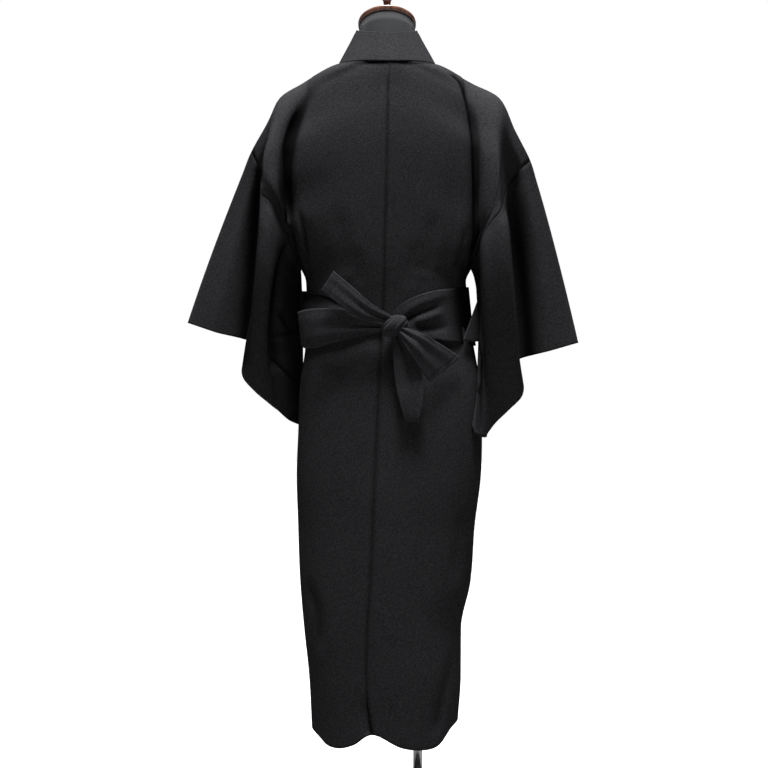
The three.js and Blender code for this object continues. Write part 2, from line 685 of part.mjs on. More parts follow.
function makeForm() {
  const rings = FORM.map(({ z, half, back, front }) => formRing(z, half, back, front));
  const top = NECK_RADIUS;
  rings.push(formRing(NECK_TOP, top, top, top, NECK_SLOPE));
  return ringSolid(rings);
}

// The cap's sloped rim rises to a small level seat for the finial.
const CAP_SEAT = { radius: 13, height: NECK_TOP + 20 };
function makeCap() {
  const rim = (radius, rise) => formRing(NECK_TOP, radius, radius, radius, NECK_SLOPE, rise);
  const level = formRing(CAP_SEAT.height, CAP_SEAT.radius, CAP_SEAT.radius, CAP_SEAT.radius);
  return ringSolid([
    rim(NECK_RADIUS - 0.5, 0.35), rim(NECK_RADIUS + 1.5, 3), rim(NECK_RADIUS + 1.5, CAP_THICKNESS - 4),
    rim(NECK_RADIUS - 3, CAP_THICKNESS - 1), rim(NECK_RADIUS - 16, CAP_THICKNESS + 2), level,
  ]);
}

function lathe(profile, sides) {
  const geometry = new THREE.LatheGeometry(profile.map(([r, z]) => new THREE.Vector2(r, z)), sides);
  geometry.rotateX(Math.PI / 2);
  return geometry;
}

function makeKnot(growth = 0) {
  const rings = [-1, -0.8, -0.4, 0, 0.4, 0.8, 1].map((level) => {
    const radius = Math.max(Math.sqrt(1 - level * level), 0.18);
    return Array.from({ length: 14 }, (_, j) => {
      const angle = (j / 14) * 2 * Math.PI;
      const [wide, deep, tall] = KNOT.half.map((size) => size + growth);
      return vec(
        KNOT.at[0] + wide * radius * Math.cos(angle),
        KNOT.at[1] + deep * radius * Math.sin(angle),
        KNOT.at[2] + tall * level - KNOT.lean * 0.5 * radius * Math.cos(angle),
      );
    });
  });
  return ringSolid(rings);
}

// ---- the part ----------------------------------------------------------------
const part = new THREE.Group();
part.name = 'yukata_on_dress_form';
const LOOKS = {
  cloth: { color: 0x1d1d20, roughness: 0.85, metalness: 0 },
  jersey: { color: 0x4b4c50, roughness: 0.95, metalness: 0 },
  wood: { color: 0x5a3a26, roughness: 0.25, metalness: 0 },
  chrome: { color: 0xc8c8c8, roughness: 0.12, metalness: 1 },
};
function add(name, geometry, look) {
  const mesh = new THREE.Mesh(geometry, new THREE.MeshStandardMaterial(LOOKS[look]));
  mesh.name = name;
  part.add(mesh);
  return mesh;
}

const knot = [makeKnot(), makeKnot(SEAM_GAP)];
add('body_left', body.left.geometry(), 'cloth');
add('body_right', trimmed(body.right.geometry(), [grown(body.left)]), 'cloth');
['left', 'right'].forEach((side) => {
  const beside = [grown(body[side]), grown(overlap[side])];
  add(`sleeve_${side}`, trimmed(sleeve[side].geometry(), [grown(body[side])]), 'cloth');
  add(`okumi_${side}`, trimmed(overlap[side].geometry(), [grown(body[side])]), 'cloth');
  add(`collar_${side}`, trimmed(collar[side].geometry(), beside), 'cloth');
});
add('belt_band', makeBand().geometry(), 'cloth');
add('belt_knot', knot[0], 'cloth');
add('bow_end_upper', trimmed(ribbon(BOW_END_UPPER, 1).geometry(), knot), 'cloth');
add('bow_end_lower', trimmed(ribbon(BOW_END_LOWER, 3).geometry(), knot), 'cloth');
add('bow_loop', trimmed(ribbon(BOW_LOOP, 3).geometry(), knot), 'cloth');
add('bow_loop_hanging', trimmed(ribbon(BOW_LOOP_HANGING, 0).geometry(), knot), 'cloth');
add('torso_form', makeForm(), 'jersey');
add('neck_cap', makeCap(), 'wood');

const finial = add('cap_finial', lathe([
  [0, 0], [12, 0], [12, 3], [8, 6], [7.5, 30], [9, 33], [13, 38], [15, 46], [13, 54], [7, 59], [0, 60],
], 20), 'wood');
finial.position.z = CAP_SEAT.height + 0.3;

const base = add('stand_base', lathe([
  [0, 0], [BASE_RADIUS, 0], [BASE_RADIUS, BASE_THICKNESS - 3], [BASE_RADIUS - 4, BASE_THICKNESS],
  [30, BASE_THICKNESS + 3], [20, BASE_THICKNESS + 8], [16, BASE_THICKNESS + 30], [0, BASE_THICKNESS + 30],
], 48), 'chrome');
base.position.x = POLE_X;

const POLE_FOOT = BASE_THICKNESS + 30.3;
const pole = add('stand_pole', lathe([
  [0, POLE_FOOT], [POLE_RADIUS, POLE_FOOT], [POLE_RADIUS, FORM_BOTTOM - 0.3], [0, FORM_BOTTOM - 0.3],
], 24), 'chrome');
pole.position.x = POLE_X;

export default part;
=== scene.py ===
# %% [markdown]
# # A yukata on a dress form
# A yukata is cut from one narrow bolt of cloth: two body panels that run from the back
# hem over the shoulders to the front hem, two overlap panels, a collar and two deep
# sleeves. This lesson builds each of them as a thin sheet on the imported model's frame,
# so that folds, seams and the tied belt fall where the real cloth has them.

# %% Load the frame
import math
import bpy
import numpy as np
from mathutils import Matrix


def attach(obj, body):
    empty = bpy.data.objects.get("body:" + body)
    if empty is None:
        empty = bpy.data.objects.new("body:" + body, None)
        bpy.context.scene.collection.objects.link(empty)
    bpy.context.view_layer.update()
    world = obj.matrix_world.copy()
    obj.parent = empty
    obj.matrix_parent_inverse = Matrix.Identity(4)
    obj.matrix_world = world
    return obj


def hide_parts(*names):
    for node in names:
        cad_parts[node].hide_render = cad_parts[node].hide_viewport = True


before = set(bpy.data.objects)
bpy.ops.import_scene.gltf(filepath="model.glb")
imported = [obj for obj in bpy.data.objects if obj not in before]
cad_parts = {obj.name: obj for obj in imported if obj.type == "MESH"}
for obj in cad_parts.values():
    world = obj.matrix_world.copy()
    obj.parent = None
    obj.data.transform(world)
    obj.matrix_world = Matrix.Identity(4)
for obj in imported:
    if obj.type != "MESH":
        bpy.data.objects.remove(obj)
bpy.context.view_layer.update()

MM = 0.001

# %% [markdown]
# ## Camera, light and floor
# The picture is taken straight from behind with the camera level with the hips. A lens
# is chosen by what it must frame: the picture's width at the garment, over the distance.

# %% Camera
VIEW_DISTANCE = 3.0
FRAME_WIDTH = 1.505          # metres of the scene across the picture, at the garment
CAMERA_X = 0.006
CAMERA_Z = 0.867
camera_data = bpy.data.cameras.new("camera")
camera_data.sensor_width = 36.0
camera_data.lens = 36.0 * VIEW_DISTANCE / FRAME_WIDTH
camera = bpy.data.objects.new("camera", camera_data)
camera.location = (CAMERA_X, VIEW_DISTANCE, CAMERA_Z)
camera.rotation_euler = (math.radians(90), 0, math.radians(180))
bpy.context.scene.collection.objects.link(camera)
bpy.context.scene.camera = camera
print("lens", round(camera_data.lens, 1), "mm")

# %% [markdown]
# Black cloth shows its folds only by light that rakes over them. A lamp hangs high up,
# a little behind the garment, so that each ridge throws its shadow outwards. Two broad
# suns stand almost overhead, and the room itself only glows faintly. The floor is darker
# to the light than to the eye, so that it looks white and doesn't light the folds.


# %% Lights and floor
def soft_sun(name, lean, turn, strength, spread):
    """A sun that stands lean degrees from the zenith, on the +Y side before it is turned."""
    data = bpy.data.lights.new(name, "SUN")
    data.energy = strength
    data.angle = math.radians(spread)
    light = bpy.data.objects.new(name, data)
    light.rotation_euler = (math.radians(-lean), 0, math.radians(turn))
    light.location = (0, 0, 3)
    bpy.context.scene.collection.objects.link(light)


def ceiling_lamp(name, place, size, power):
    """A square lamp under the ceiling that faces straight down."""
    data = bpy.data.lights.new(name, "AREA")
    data.shape = "SQUARE"
    data.size = size
    data.energy = power
    light = bpy.data.objects.new(name, data)
    light.location = place
    bpy.context.scene.collection.objects.link(light)


ceiling_lamp("lamp_behind", (0.0, 0.8, 5.2), 0.8, 290)
soft_sun("sun_behind", 9, 6, 1.7, 34)
soft_sun("sun_in_front", -14, 0, 3.4, 40)


WORLD_LOW, WORLD_HIGH = 0.05, 0.22


def studio_world():
    """White behind everything; the light it gives is weak at the sides and below."""
    world = bpy.data.worlds.new("studio")
    world.use_nodes = True
    tree = world.node_tree
    glow = tree.nodes["Background"]
    seen = tree.nodes.new("ShaderNodeBackground")
    seen.inputs["Color"].default_value = (1, 1, 1, 1)
    place = tree.nodes.new("ShaderNodeTexCoord")
    parts = tree.nodes.new("ShaderNodeSeparateXYZ")
    tree.links.new(place.outputs["Generated"], parts.inputs[0])
    up = tree.nodes.new("ShaderNodeMapRange")
    for name, value in (("From Min", -0.2), ("From Max", 0.9),
                        ("To Min", WORLD_LOW), ("To Max", WORLD_HIGH)):
        up.inputs[name].default_value = value
    tree.links.new(parts.outputs[2], up.inputs["Value"])
    tree.links.new(up.outputs[0], glow.inputs["Strength"])
    path = tree.nodes.new("ShaderNodeLightPath")
    both = tree.nodes.new("ShaderNodeMixShader")
    tree.links.new(path.outputs["Is Camera Ray"], both.inputs[0])
    tree.links.new(glow.outputs[0], both.inputs[1])
    tree.links.new(seen.outputs[0], both.inputs[2])
    tree.links.new(both.outputs[0], tree.nodes["World Output"].inputs[0])
    return world


bpy.context.scene.world = studio_world()
bpy.context.scene.view_settings.view_transform = "Standard"

FLOOR_HALF = 14.0
FLOOR_LIT, FLOOR_SEEN = 0.16, 0.85       # its paleness to the light and to the eye
floor_mesh = bpy.data.meshes.new("studio_floor")
floor_mesh.from_pydata([(-FLOOR_HALF, -FLOOR_HALF, 0), (FLOOR_HALF, -FLOOR_HALF, 0),
                        (FLOOR_HALF, FLOOR_HALF, 0), (-FLOOR_HALF, FLOOR_HALF, 0)],
                       [], [(0, 1, 2, 3)])
floor = bpy.data.objects.new("studio_floor", floor_mesh)
bpy.context.scene.collection.objects.link(floor)
floor_look = bpy.data.materials.new("pale_floor")
floor_look.use_nodes = True
floor_tree = floor_look.node_tree
floor_shade = floor_tree.nodes.new("ShaderNodeMapRange")
floor_shade.inputs["To Min"].default_value = FLOOR_LIT
floor_shade.inputs["To Max"].default_value = FLOOR_SEEN
floor_path = floor_tree.nodes.new("ShaderNodeLightPath")
floor_tree.links.new(floor_path.outputs["Is Camera Ray"], floor_shade.inputs["Value"])
floor_shader = floor_tree.nodes["Principled BSDF"]
floor_tree.links.new(floor_shade.outputs[0], floor_shader.inputs["Base Color"])
floor_shader.inputs["Roughness"].default_value = 0.9
floor_mesh.materials.append(floor_look)

# %% [markdown]
# ## Reading tables and drawing smooth curves through them
# Every shape below starts as a short table. Straight lines between its rows would show
# as facets, so the points are joined by cubic curves whose slopes come from the rows on
# each side. The same curve serves for profiles and, used twice, for whole sheets.


# %% Tables and curves
def table(columns, rows):
    return [dict(zip(columns, row)) for row in rows]


def slopes(at, values):
    gaps = np.diff(at)
    rates = np.diff(values, axis=0) / gaps.reshape((-1,) + (1,) * (values.ndim - 1))
    result = np.empty_like(values)
    result[0], result[-1] = rates[0], rates[-1]
    before = gaps[:-1].reshape((-1,) + (1,) * (values.ndim - 1))
    after = gaps[1:].reshape((-1,) + (1,) * (values.ndim - 1))
    middle = (rates[:-1] * after + rates[1:] * before) / (before + after)
    # No overshoot: a point beside a flat stretch keeps most of that stretch's slope.
    limit = 3 * np.minimum(np.abs(rates[:-1]), np.abs(rates[1:]))
    turning = rates[:-1] * rates[1:] < 0
    result[1:-1] = np.where(turning, 0.5 * middle, np.clip(middle, -limit, limit))
    return result


def curve_through(at, values, where):
    """Values of a smooth curve through the given ones, along the first axis."""
    at = np.asarray(at, float)
    values = np.asarray(values, float)
    slope = slopes(at, values)
    cell = np.clip(np.searchsorted(at, where, side="right") - 1, 0, len(at) - 2)
    width = at[cell + 1] - at[cell]
    t = (where - at[cell]) / width
    shape = (-1,) + (1,) * (values.ndim - 1)
    t, width = t.reshape(shape), width.reshape(shape)
    return ((2 * t**3 - 3 * t**2 + 1) * values[cell] + (t**3 - 2 * t**2 + t) * width * slope[cell]
            + (3 * t**2 - 2 * t**3) * values[cell + 1] + (t**3 - t**2) * width * slope[cell + 1])


def ease(value, low, high):
    t = np.clip((np.asarray(value, float) - low) / (high - low), 0, 1)
    return t * t * (3 - 2 * t)


print("curve check", curve_through([0, 1, 2], [0, 1, 4], np.array([0.5, 1.5])))

# %% [markdown]
# ## The garment's sections
# A worn yukata is a tube that hangs from the shoulders and is drawn in at the belt. Each
# row gives the tube's half widths, its depth behind and in front, and where the centre
# back seam runs, in millimetres. The hem is a little uneven, as on cloth that hangs.

# %% Sections
SQUARENESS = 2.3
OVERLAP_INSET = 9
SPINE_TOP = 1483
SECTIONS = table(["z", "left", "right", "back", "front", "spine"], [
    [1483, 150, 150, 88, 84, -3], [1425, 196, 190, 102, 98, -2], [1365, 202, 186, 111, 114, -1],
    [1300, 204, 182, 114, 120, 0], [1200, 196, 180, 113, 120, 2], [1094, 172, 163, 108, 117, 5],
    [1068, 159, 154, 106, 116, 5], [1040, 158, 157, 104, 114, 6],
    [995, 159, 160, 103, 113, 8], [940, 160, 169, 107, 116, 11],
    [870, 170, 181, 115, 121, 15], [777, 174, 186, 121, 125, 19], [690, 177, 184, 121, 124, 23],
    [590, 173, 171, 119, 121, 27], [480, 168, 162, 117, 118, 32], [390, 161, 144, 115, 115, 38],
    [300, 152, 144, 113, 113, 40], [170, 146, 138, 110, 111, 28],
])
SECTION_HEIGHTS = np.array([row["z"] for row in SECTIONS])[::-1]


def section(name, z):
    values = [row[name] for row in SECTIONS][::-1]
    return float(curve_through(SECTION_HEIGHTS, values, np.clip(np.array([float(z)]), 170, SPINE_TOP))[0])


def section_point(z, turn, grow=0.0):
    s, c = math.sin(math.radians(turn)), math.cos(math.radians(turn))
    half = section("left" if s >= 0 else "right", z) + grow
    deep = section("back" if c >= 0 else "front", z) + grow
    power = 2 / SQUARENESS
    return np.array([half * math.copysign(abs(s) ** power, s), deep * math.copysign(abs(c) ** power, c), z])


def turn_at(z, x, front):
    half = section("left" if x >= 0 else "right", z)
    angle = math.degrees(math.asin(min(abs(x) / half, 1) ** (SQUARENESS / 2)))
    return math.copysign(180 - angle if front else angle, x or 1)


def hem_height(x, y):
    notch = 32 * math.exp(-((abs(x - 28) / (34 if x > 28 else 42)) ** 1.5)) * ease(y, 20, 100)
    side = 42 * ease(-x, 70, 140) if x < 0 else 26 * ease(x, 100, 150)
    return 172 + notch + side * (1 - ease(abs(y), 60, 110)) + 10 * ease(-y, 40, 100)


print("waist", [round(v) for v in section_point(995, 90)], "hem", round(float(hem_height(28, 110))))

# %% [markdown]
# ## Thread lines over the shoulders
# With no arms in them the shoulders drop and the sleeves fall into long folds. Each row
# is one thread of the weave: from the spine it dips into the fold beside the shoulder
# blade, climbs to the dropped shoulder's ridge, crosses the armhole seam, and runs down
# the sleeve by its middle to its edge. Reading cloth as threads keeps its grain true.

# %% Thread lines
LINE_COLUMNS = ["spine", "fold", "ridge", "seam", "mid", "end"]
LEFT_LINES = table(LINE_COLUMNS, [
    [1490, [149, 0, 1465], [206, 0, 1428], [267, -8, 1323], [333, -14, 1154], [392, -16, 987]],
    [1483, [162, 42, 1417], [213, 38, 1401], [256, -3, 1300], [297, -2, 1138], [339, -4, 969]],
    [1425, [178, 46, 1366], [224, 68, 1343], [245, -8, 1276], [256, -26, 1117], [265, -26, 949]],
    [1367, [189, 58, 1317], [234, 90, 1289], [240, 92, 1230], [248, 104, 1083], [279, 40, 881]],
    [1309, [195, 58, 1269], [213, 98, 1239], [221, 92, 1211], [235, 102, 1064], [256, 34, 853]],
    [1251, [194, 54, 1221], [198, 84, 1202], [205, 76, 1180], [221, 90, 1046], [235, 22, 834]],
    [1200, [186, 62, 1176], [190, 60, 1163], [192, 52, 1148], [212, 48, 1029], [214, 8, 816]],
    [1150, [174, 62, 1142], [178, 44, 1132], [180, 24, 1122], [197, 22, 1021], [194, -14, 797]],
    [1094, [148, 60, 1096], [162, 40, 1097], [173, 0, 1100], [168, -40, 1030], [166, -60, 784]],
])
RIGHT_LINES = table(LINE_COLUMNS, [
    [1490, [-149, 0, 1465], [-219, 0, 1426], [-281, -8, 1305], [-327, -14, 1145], [-376, -16, 948]],
    [1483, [-158, 40, 1416], [-216, 40, 1397], [-264, -3, 1290], [-297, -2, 1126], [-320, -4, 932]],
    [1425, [-163, 46, 1366], [-212, 68, 1343], [-240, -8, 1260], [-250, -26, 1100], [-258, -26, 914]],
    [1367, [-167, 58, 1317], [-211, 92, 1283], [-214, 100, 1195], [-232, 106, 1054], [-261, 42, 844]],
    [1309, [-169, 58, 1263], [-205, 98, 1222], [-198, 98, 1174], [-210, 102, 1041], [-236, 42, 817]],
    [1251, [-171, 56, 1212], [-190, 94, 1186], [-184, 84, 1153], [-186, 92, 1034], [-212, 42, 794]],
    [1200, [-168, 60, 1164], [-178, 72, 1150], [-177, 58, 1132], [-182, 62, 1020], [-196, 44, 774]],
    [1150, [-162, 60, 1124], [-168, 48, 1114], [-170, 28, 1112], [-184, 40, 1008], [-188, 52, 764]],
    [1094, [-142, 60, 1094], [-154, 40, 1094], [-164, 0, 1092], [-178, 18, 992], [-166, 78, 772]],
])
UNDERARM = {
    1: dict(seam=[184, -36, 1116], mid=[190, -62, 1024], end=[188, -50, 797]),
    -1: dict(seam=[-174, -38, 1106], mid=[-198, -32, 1008], end=[-190, 45, 764]),
}
MID_DEPTH = -14
FRONT_FOLD = 0.85
CUFF_LINES = 5
BOTTOM_GAP = 1.8
POINTS = LINE_COLUMNS[1:]


def back_lines(side):
    """The side's lines, with two more round the shoulder between the first two."""
    lines = LEFT_LINES if side > 0 else RIGHT_LINES
    between = []
    for t in (1 / 3, 2 / 3):
        line = {name: np.array(lines[0][name]) * (1 - t) + np.array(lines[1][name]) * t for name in POINTS}
        line["spine"] = SPINE_TOP
        line["fold"][2] += 9 * math.sin(math.pi * t)
        line["ridge"][2] += 7 * math.sin(math.pi * t)
        between.append(line)
    return [lines[0], *between, *lines[1:]]


def to_front(point):
    rise = point[1] - MID_DEPTH
    return [point[0], MID_DEPTH - max(rise * FRONT_FOLD, 8 - 1.3 * min(rise, 0)), point[2]]


def front_lines(side):
    lines = back_lines(side)
    fronts = []
    for k, line in enumerate(lines):
        if k == len(lines) - 2:
            fronts.append({**line, "fold": to_front(line["fold"]), "ridge": to_front(line["ridge"]),
                           **UNDERARM[side]})
            continue
        front = {"spine": line["spine"]}
        for name in POINTS:
            shared = k == 0 or (k == len(lines) - 1 and name not in ("fold", "ridge"))
            front[name] = line[name] if shared else to_front(line[name])
            if name == "end" and k >= CUFF_LINES and not shared:
                front["end"] = [line["end"][0], line["end"][1] - BOTTOM_GAP, line["end"][2]]
        fronts.append(front)
    return fronts


print("lines on each side", len(back_lines(1)))

# %% [markdown]
# ## The collar's two edges
# The collar is a straight band sewn to a curved neckline. It stands round the neck behind
# and lies flat down the front, and the left half crosses over the right. Its path is
# needed before the body, because the front panels end at its seam.

# %% Collar path
NECK_FREE, NECK_WIDE, NECK_DEEP = 58.6, 92, 85
COLLAR = table(["seam", "free"], [
    [[92, 3, 1490], [58.6, 0, 1557]], [[90, -34, 1473], [54, -34, 1535]],
    [[80, -68, 1436], [44, -66, 1492]], [[64, -98, 1386], [20, -98, 1430]],
    [[44, -114, 1330], [-8, -116, 1362]], [[20, -121, 1265], [-34, -121, 1290]],
    [[-4, -121, 1200], [-60, -116, 1216]], [[-27, -121, 1140], [-84, -107, 1148]],
    [[-48, -118, 1080], [-103, -97, 1083]], [[-64, -114, 1030], [-116, -90, 1032]],
    [[-80, -112, 975], [-128, -84, 976]], [[-95, -111, 915], [-140, -82, 916]],
    [[-106, -111, 860], [-150, -80, 861]],
])
COLLAR_ON_FRONT = 5
COLLAR_LIFT = 4
NECKLINE = [0, -1 / 3, -2 / 3, -1]
FRONT_EDGE = [0, 0.35, 0.7, 1.2, 2, 3, 4, 5, 6, 7, 7.8, 8.25, 8.8, 9.6, 10.6, 11.8]
TIP_LINE = 7
OVERLAP_SEAM_X = 12
LOWER_HEIGHTS = [1068, 1040, 995, 940, 870, 777, 690, 590, 480, 390, 300, 170]
HEM_ROW = LOWER_HEIGHTS[-1]


def front_inset(side, turn, z):
    if side > 0:
        return 0.0
    return -OVERLAP_INSET * float(ease(abs(turn), 92, 125) * (1 - ease(z, 1380, 1460)))


def on_front(side, x, z, lift):
    turn = turn_at(z, x, True)
    full = turn - 360 if side < 0 < x else turn
    return section_point(z, turn, lift + front_inset(side, full, z))


def collar_at(count, side):
    """Seam and free edge at a count of rows; from -1 to 0 it goes round the neck."""
    if count < 0:
        angle = -count * math.pi / 2
        seam = np.array([NECK_WIDE * math.cos(angle), 3 + NECK_DEEP * math.sin(angle),
                         SPINE_TOP + 7 * (1 + count)])
        free = np.array([NECK_FREE * math.cos(angle), NECK_FREE * math.sin(angle),
                         1540 + 17 * (1 + count)])
        if count == -1:
            seam[0] = side * section("spine", SPINE_TOP)
    else:
        low = min(int(count), len(COLLAR) - 2)
        part = count - low
        seam, free = (np.array(COLLAR[low][n]) * (1 - part) + np.array(COLLAR[low + 1][n]) * part
                      for n in ("seam", "free"))
    seam, free = seam * [side, 1, 1], free * [side, 1, 1]
    if count >= COLLAR_ON_FRONT:
        seam = on_front(side, seam[0], seam[2], 0)
        free = on_front(side, free[0], free[2], COLLAR_LIFT)
    elif side < 0:
        seam[1] += OVERLAP_INSET * float(ease(-seam[1], 55, 110))
        free[1] += OVERLAP_INSET * float(ease(-free[1], 55, 110))
    return seam, free


def front_inner(side, k):
    seam = collar_at(FRONT_EDGE[k], side)[0]
    return seam if k <= TIP_LINE else on_front(side, side * OVERLAP_SEAM_X, seam[2], 0)


print("collar at the nape", [round(float(v)) for v in collar_at(-1, 1)[0]])

# %% [markdown]
# ## From a net of points to a sheet
# A sheet is drawn through its net by smooth curves in both directions. A net may be given
# one more row or column on a side, which isn't part of the sheet: it says how the cloth
# goes on past the seam, so that two sheets meet without a kink.


# %% Sheets from nets
def chords(net, axis):
    steps = np.linalg.norm(np.diff(net, axis=axis), axis=2)
    return np.concatenate([[0], np.cumsum(np.maximum(steps.mean(axis=1 - axis), 0.5))])


def refine(net, step, axis, skip=(0, 0)):
    """The net with more points along an axis, one step for all or one for each interval.
    skip leaves out guide rows at the ends."""
    at = chords(net, axis)
    first, last = skip[0], len(at) - 1 - skip[1]
    steps = np.broadcast_to(step, (last - first,))
    fine = []
    for i in range(first, last):
        count = max(2, round((at[i + 1] - at[i]) / steps[i - first]))
        fine.extend(np.linspace(at[i], at[i + 1], count, endpoint=False))
    fine = np.array(fine + [at[last]])
    moved = np.moveaxis(net, axis, 0)
    return np.moveaxis(curve_through(at, moved, fine), 0, axis)


def sheet_normals(grid, closed=False):
    if closed:
        across = np.roll(grid, -1, axis=1) - np.roll(grid, 1, axis=1)
    else:
        across = np.gradient(grid, axis=1)
    along = np.gradient(grid, axis=0)
    normal = np.cross(across, along)
    return normal / np.maximum(np.linalg.norm(normal, axis=2, keepdims=True), 1e-9)


def build_sheet(name, grid, closed=False, painted_shade=None):
    """A mesh object from a grid in millimetres, with its cloth measured off as UVs."""
    rows, cols = grid.shape[:2]
    mesh = bpy.data.meshes.new(name)
    faces = []
    for i in range(rows - 1):
        for j in range(cols if closed else cols - 1):
            k = (j + 1) % cols
            faces.append((i * cols + j, i * cols + k, (i + 1) * cols + k, (i + 1) * cols + j))
    mesh.from_pydata((grid.reshape(-1, 3) * MM).tolist(), [], faces)
    wrapped = np.concatenate([grid, grid[:, :1]], axis=1) if closed else grid
    u = chords(wrapped, 1) * MM
    v = chords(grid, 0) * MM
    layer = mesh.uv_layers.new(name="cloth")
    coords = []
    for i in range(rows - 1):
        for j in range(cols if closed else cols - 1):
            coords += [u[j], v[i], u[j + 1], v[i], u[j + 1], v[i + 1], u[j], v[i + 1]]
    layer.data.foreach_set("uv", coords)
    # The painted shade is kept as a number on each point, for the finish to darken the colour.
    if painted_shade is not None:
        mesh.attributes.new("painted_shade", "FLOAT", "POINT").data.foreach_set("value", painted_shade.reshape(-1))
    for polygon in mesh.polygons:
        polygon.use_smooth = True
    piece = bpy.data.objects.new(name, mesh)
    bpy.context.scene.collection.objects.link(piece)
    return piece


def thicken(piece, thickness):
    wall = piece.modifiers.new("cloth thickness", "SOLIDIFY")
    wall.thickness = thickness * MM
    wall.offset = 0.0
    return piece


CLOTH = 1.5
STEP = 4.6
print("sheets are drawn every", STEP, "mm")

# %% [markdown]
# ## Creases
# The large folds are in the nets. The smaller creases are laid on afterwards, as a tailor
# would describe them: from where to where, how wide and how deep. Each is a soft trough
# or ridge that fades out at both ends, and it only moves the cloth that faces its side.
# A sheet with points 5 mm apart can't shut the light out of a slit, so shade may also be
# painted along a crease as a dark line: a number kept on the sheet that darkens its colour.


# %% Creases
DEPTH_WEIGHT = 0.35          # how much a path's depth counts against its place from behind
# A crease's dark line is painted shade; these set how its distance is measured and its width.
SHADE_LINE_DEPTH_WEIGHT = 0.05     # the same for a dark line, which is seen from behind
SHADE_LINE_WIDTH = 3.6


def measure_path(grid, path, depth_weight=DEPTH_WEIGHT):
    """Distance to a path, signed distance across it, and how far along it, for each point."""
    path = np.array(path, float)
    run = np.concatenate([[0], np.cumsum(np.linalg.norm(np.diff(path, axis=0), axis=1))])
    fine = curve_through(run, path, np.linspace(0, run[-1], 30))
    best = np.full(grid.shape[:2], 1e9)
    across, along = np.zeros(grid.shape[:2]), np.zeros(grid.shape[:2])
    weight = np.array([1.0, depth_weight, 1.0])
    for k in range(len(fine) - 1):
        a, d = fine[k] * weight, (fine[k + 1] - fine[k]) * weight
        away = grid * weight - a
        t = np.clip((away @ d) / (d @ d), 0, 1)
        off = away - t[..., None] * d
        gap = np.linalg.norm(off, axis=2)
        closer = gap < best
        best = np.where(closer, gap, best)
        across = np.where(closer, gap * np.sign(off[..., 0] * d[2] - off[..., 2] * d[0]), across)
        along = np.where(closer, (k + t) / (len(fine) - 1), along)
    return best, across, along


def press_creases(grid, normals, creases):
    """How far each point moves along its normal, and how much shade is painted on it."""
    shift, painted_shade = np.zeros(grid.shape[:2]), np.zeros(grid.shape[:2])
    for crease in creases:
        best, across, along = measure_path(grid, crease["path"])
        start, end = crease.get("fade", (0.3, 0.3))
        fade = ease(along, 0, max(start, 0.01)) * ease(1 - along, 0, max(end, 0.01))
        facing = normals @ np.array(crease.get("faces", [0, 1, 0]), float)
        if "edge" in crease:
            under = across * crease["edge"]
            shape = ease(under, -1.5, 3.5) * np.exp(-np.maximum(under, 0) / crease["wide"])
        else:
            shape = np.exp(-((best / crease["wide"]) ** 2))
        shift += crease["deep"] * shape * fade * ease(facing, 0.0, 0.5)
        if "line" not in crease:
            continue
        # Painted shade: a dark line along the crease, where the fold's shade falls.
        if "faces" not in crease:
            best = measure_path(grid, crease["path"], SHADE_LINE_DEPTH_WEIGHT)[0]
        line = crease["line"] * np.exp(-((best / crease.get("thick", SHADE_LINE_WIDTH)) ** 2))
        painted_shade = np.maximum(painted_shade, line * fade * ease(facing, -0.5, -0.1))
    return shift, painted_shade


def cloth_waves(grid, size, height, seed):
    """Slow, irregular swells, the same on every run."""
    random = np.random.default_rng(seed)
    total = np.zeros(grid.shape[:2])
    for _ in range(7):
        way = random.normal(size=3) * [1.0, 1.0, 0.45] / size
        total += np.sin(grid @ way * 2 * np.pi + random.uniform(0, 2 * np.pi))
    return total * height / 7


def drape_waves(grid):
    """The same swells for every panel, so that two of them still meet at a seam."""
    return cloth_waves(grid, 260, 2.2, 11)


def seam_groove(distance, depth=0.6, width=3.0):
    return -depth * np.exp(-((distance / width) ** 2))


print("crease tools ready")

# %% [markdown]
# ## The body panels
# Each panel is one length of cloth from the back hem to the front hem. The net has a row
# for each thread line above the armpit and one for each section below it.


# %% Body nets
ROW_PARTS = [0, 0.17, 0.35, 0.52, 0.64, 0.7, 0.77, 0.85, 0.93, 1]


def body_row(inner, line, facing):
    start, fold, ridge, seam = (np.array(p, float)
                                for p in (inner, line["fold"], line["ridge"], line["seam"]))
    row = [start]
    overlap = facing * (3 if fold[0] > 0 else 12)      # how far the back lies over the fold
    for t in (0.25, 0.5, 0.75, 0.92):
        point = start + (fold - start) * t
        point[1] = start[1] + (fold[1] + overlap - start[1]) * t**2.4
        point[2] = start[2] + (fold[2] - start[2]) * t**1.4
        row.append(point)
    lip = fold + (ridge - fold) * 0.3
    lip[1] = fold[1] + (ridge[1] - fold[1]) * 0.62
    return np.array(row + [fold, lip, ridge, (ridge + seam) / 2, seam])


def ring_row(z, start, end, side=1, front=False):
    row = []
    for part in ROW_PARTS:
        turn = start + (end - start) * part
        point = section_point(z, turn, front_inset(side, turn, z) if front else 0)
        if z == HEM_ROW:
            point[2] = hem_height(point[0], point[1])
        row.append(point)
    return np.array(row)


def body_net(side):
    lines, fronts = back_lines(side), front_lines(side)
    neckline = [collar_at(count, side)[0] for count in NECKLINE]
    rows = [ring_row(z, turn_at(z, section("spine", z), False), side * 90) for z in LOWER_HEIGHTS[::-1]]
    for k in range(len(lines) - 1, 0, -1):
        z = lines[k]["spine"]
        inner = neckline[k] if k < len(neckline) else [section("spine", z), section("back", z), z]
        rows.append(body_row(inner, lines[k], 1))
    rows.append(body_row(neckline[0], lines[0], 0))
    for k in range(1, len(lines)):
        rows.append(body_row(front_inner(side, k), fronts[k], -1))
    for z in LOWER_HEIGHTS:
        rows.append(ring_row(z, turn_at(z, side * OVERLAP_SEAM_X, True), side * 90, side, True))
    return np.array(rows)


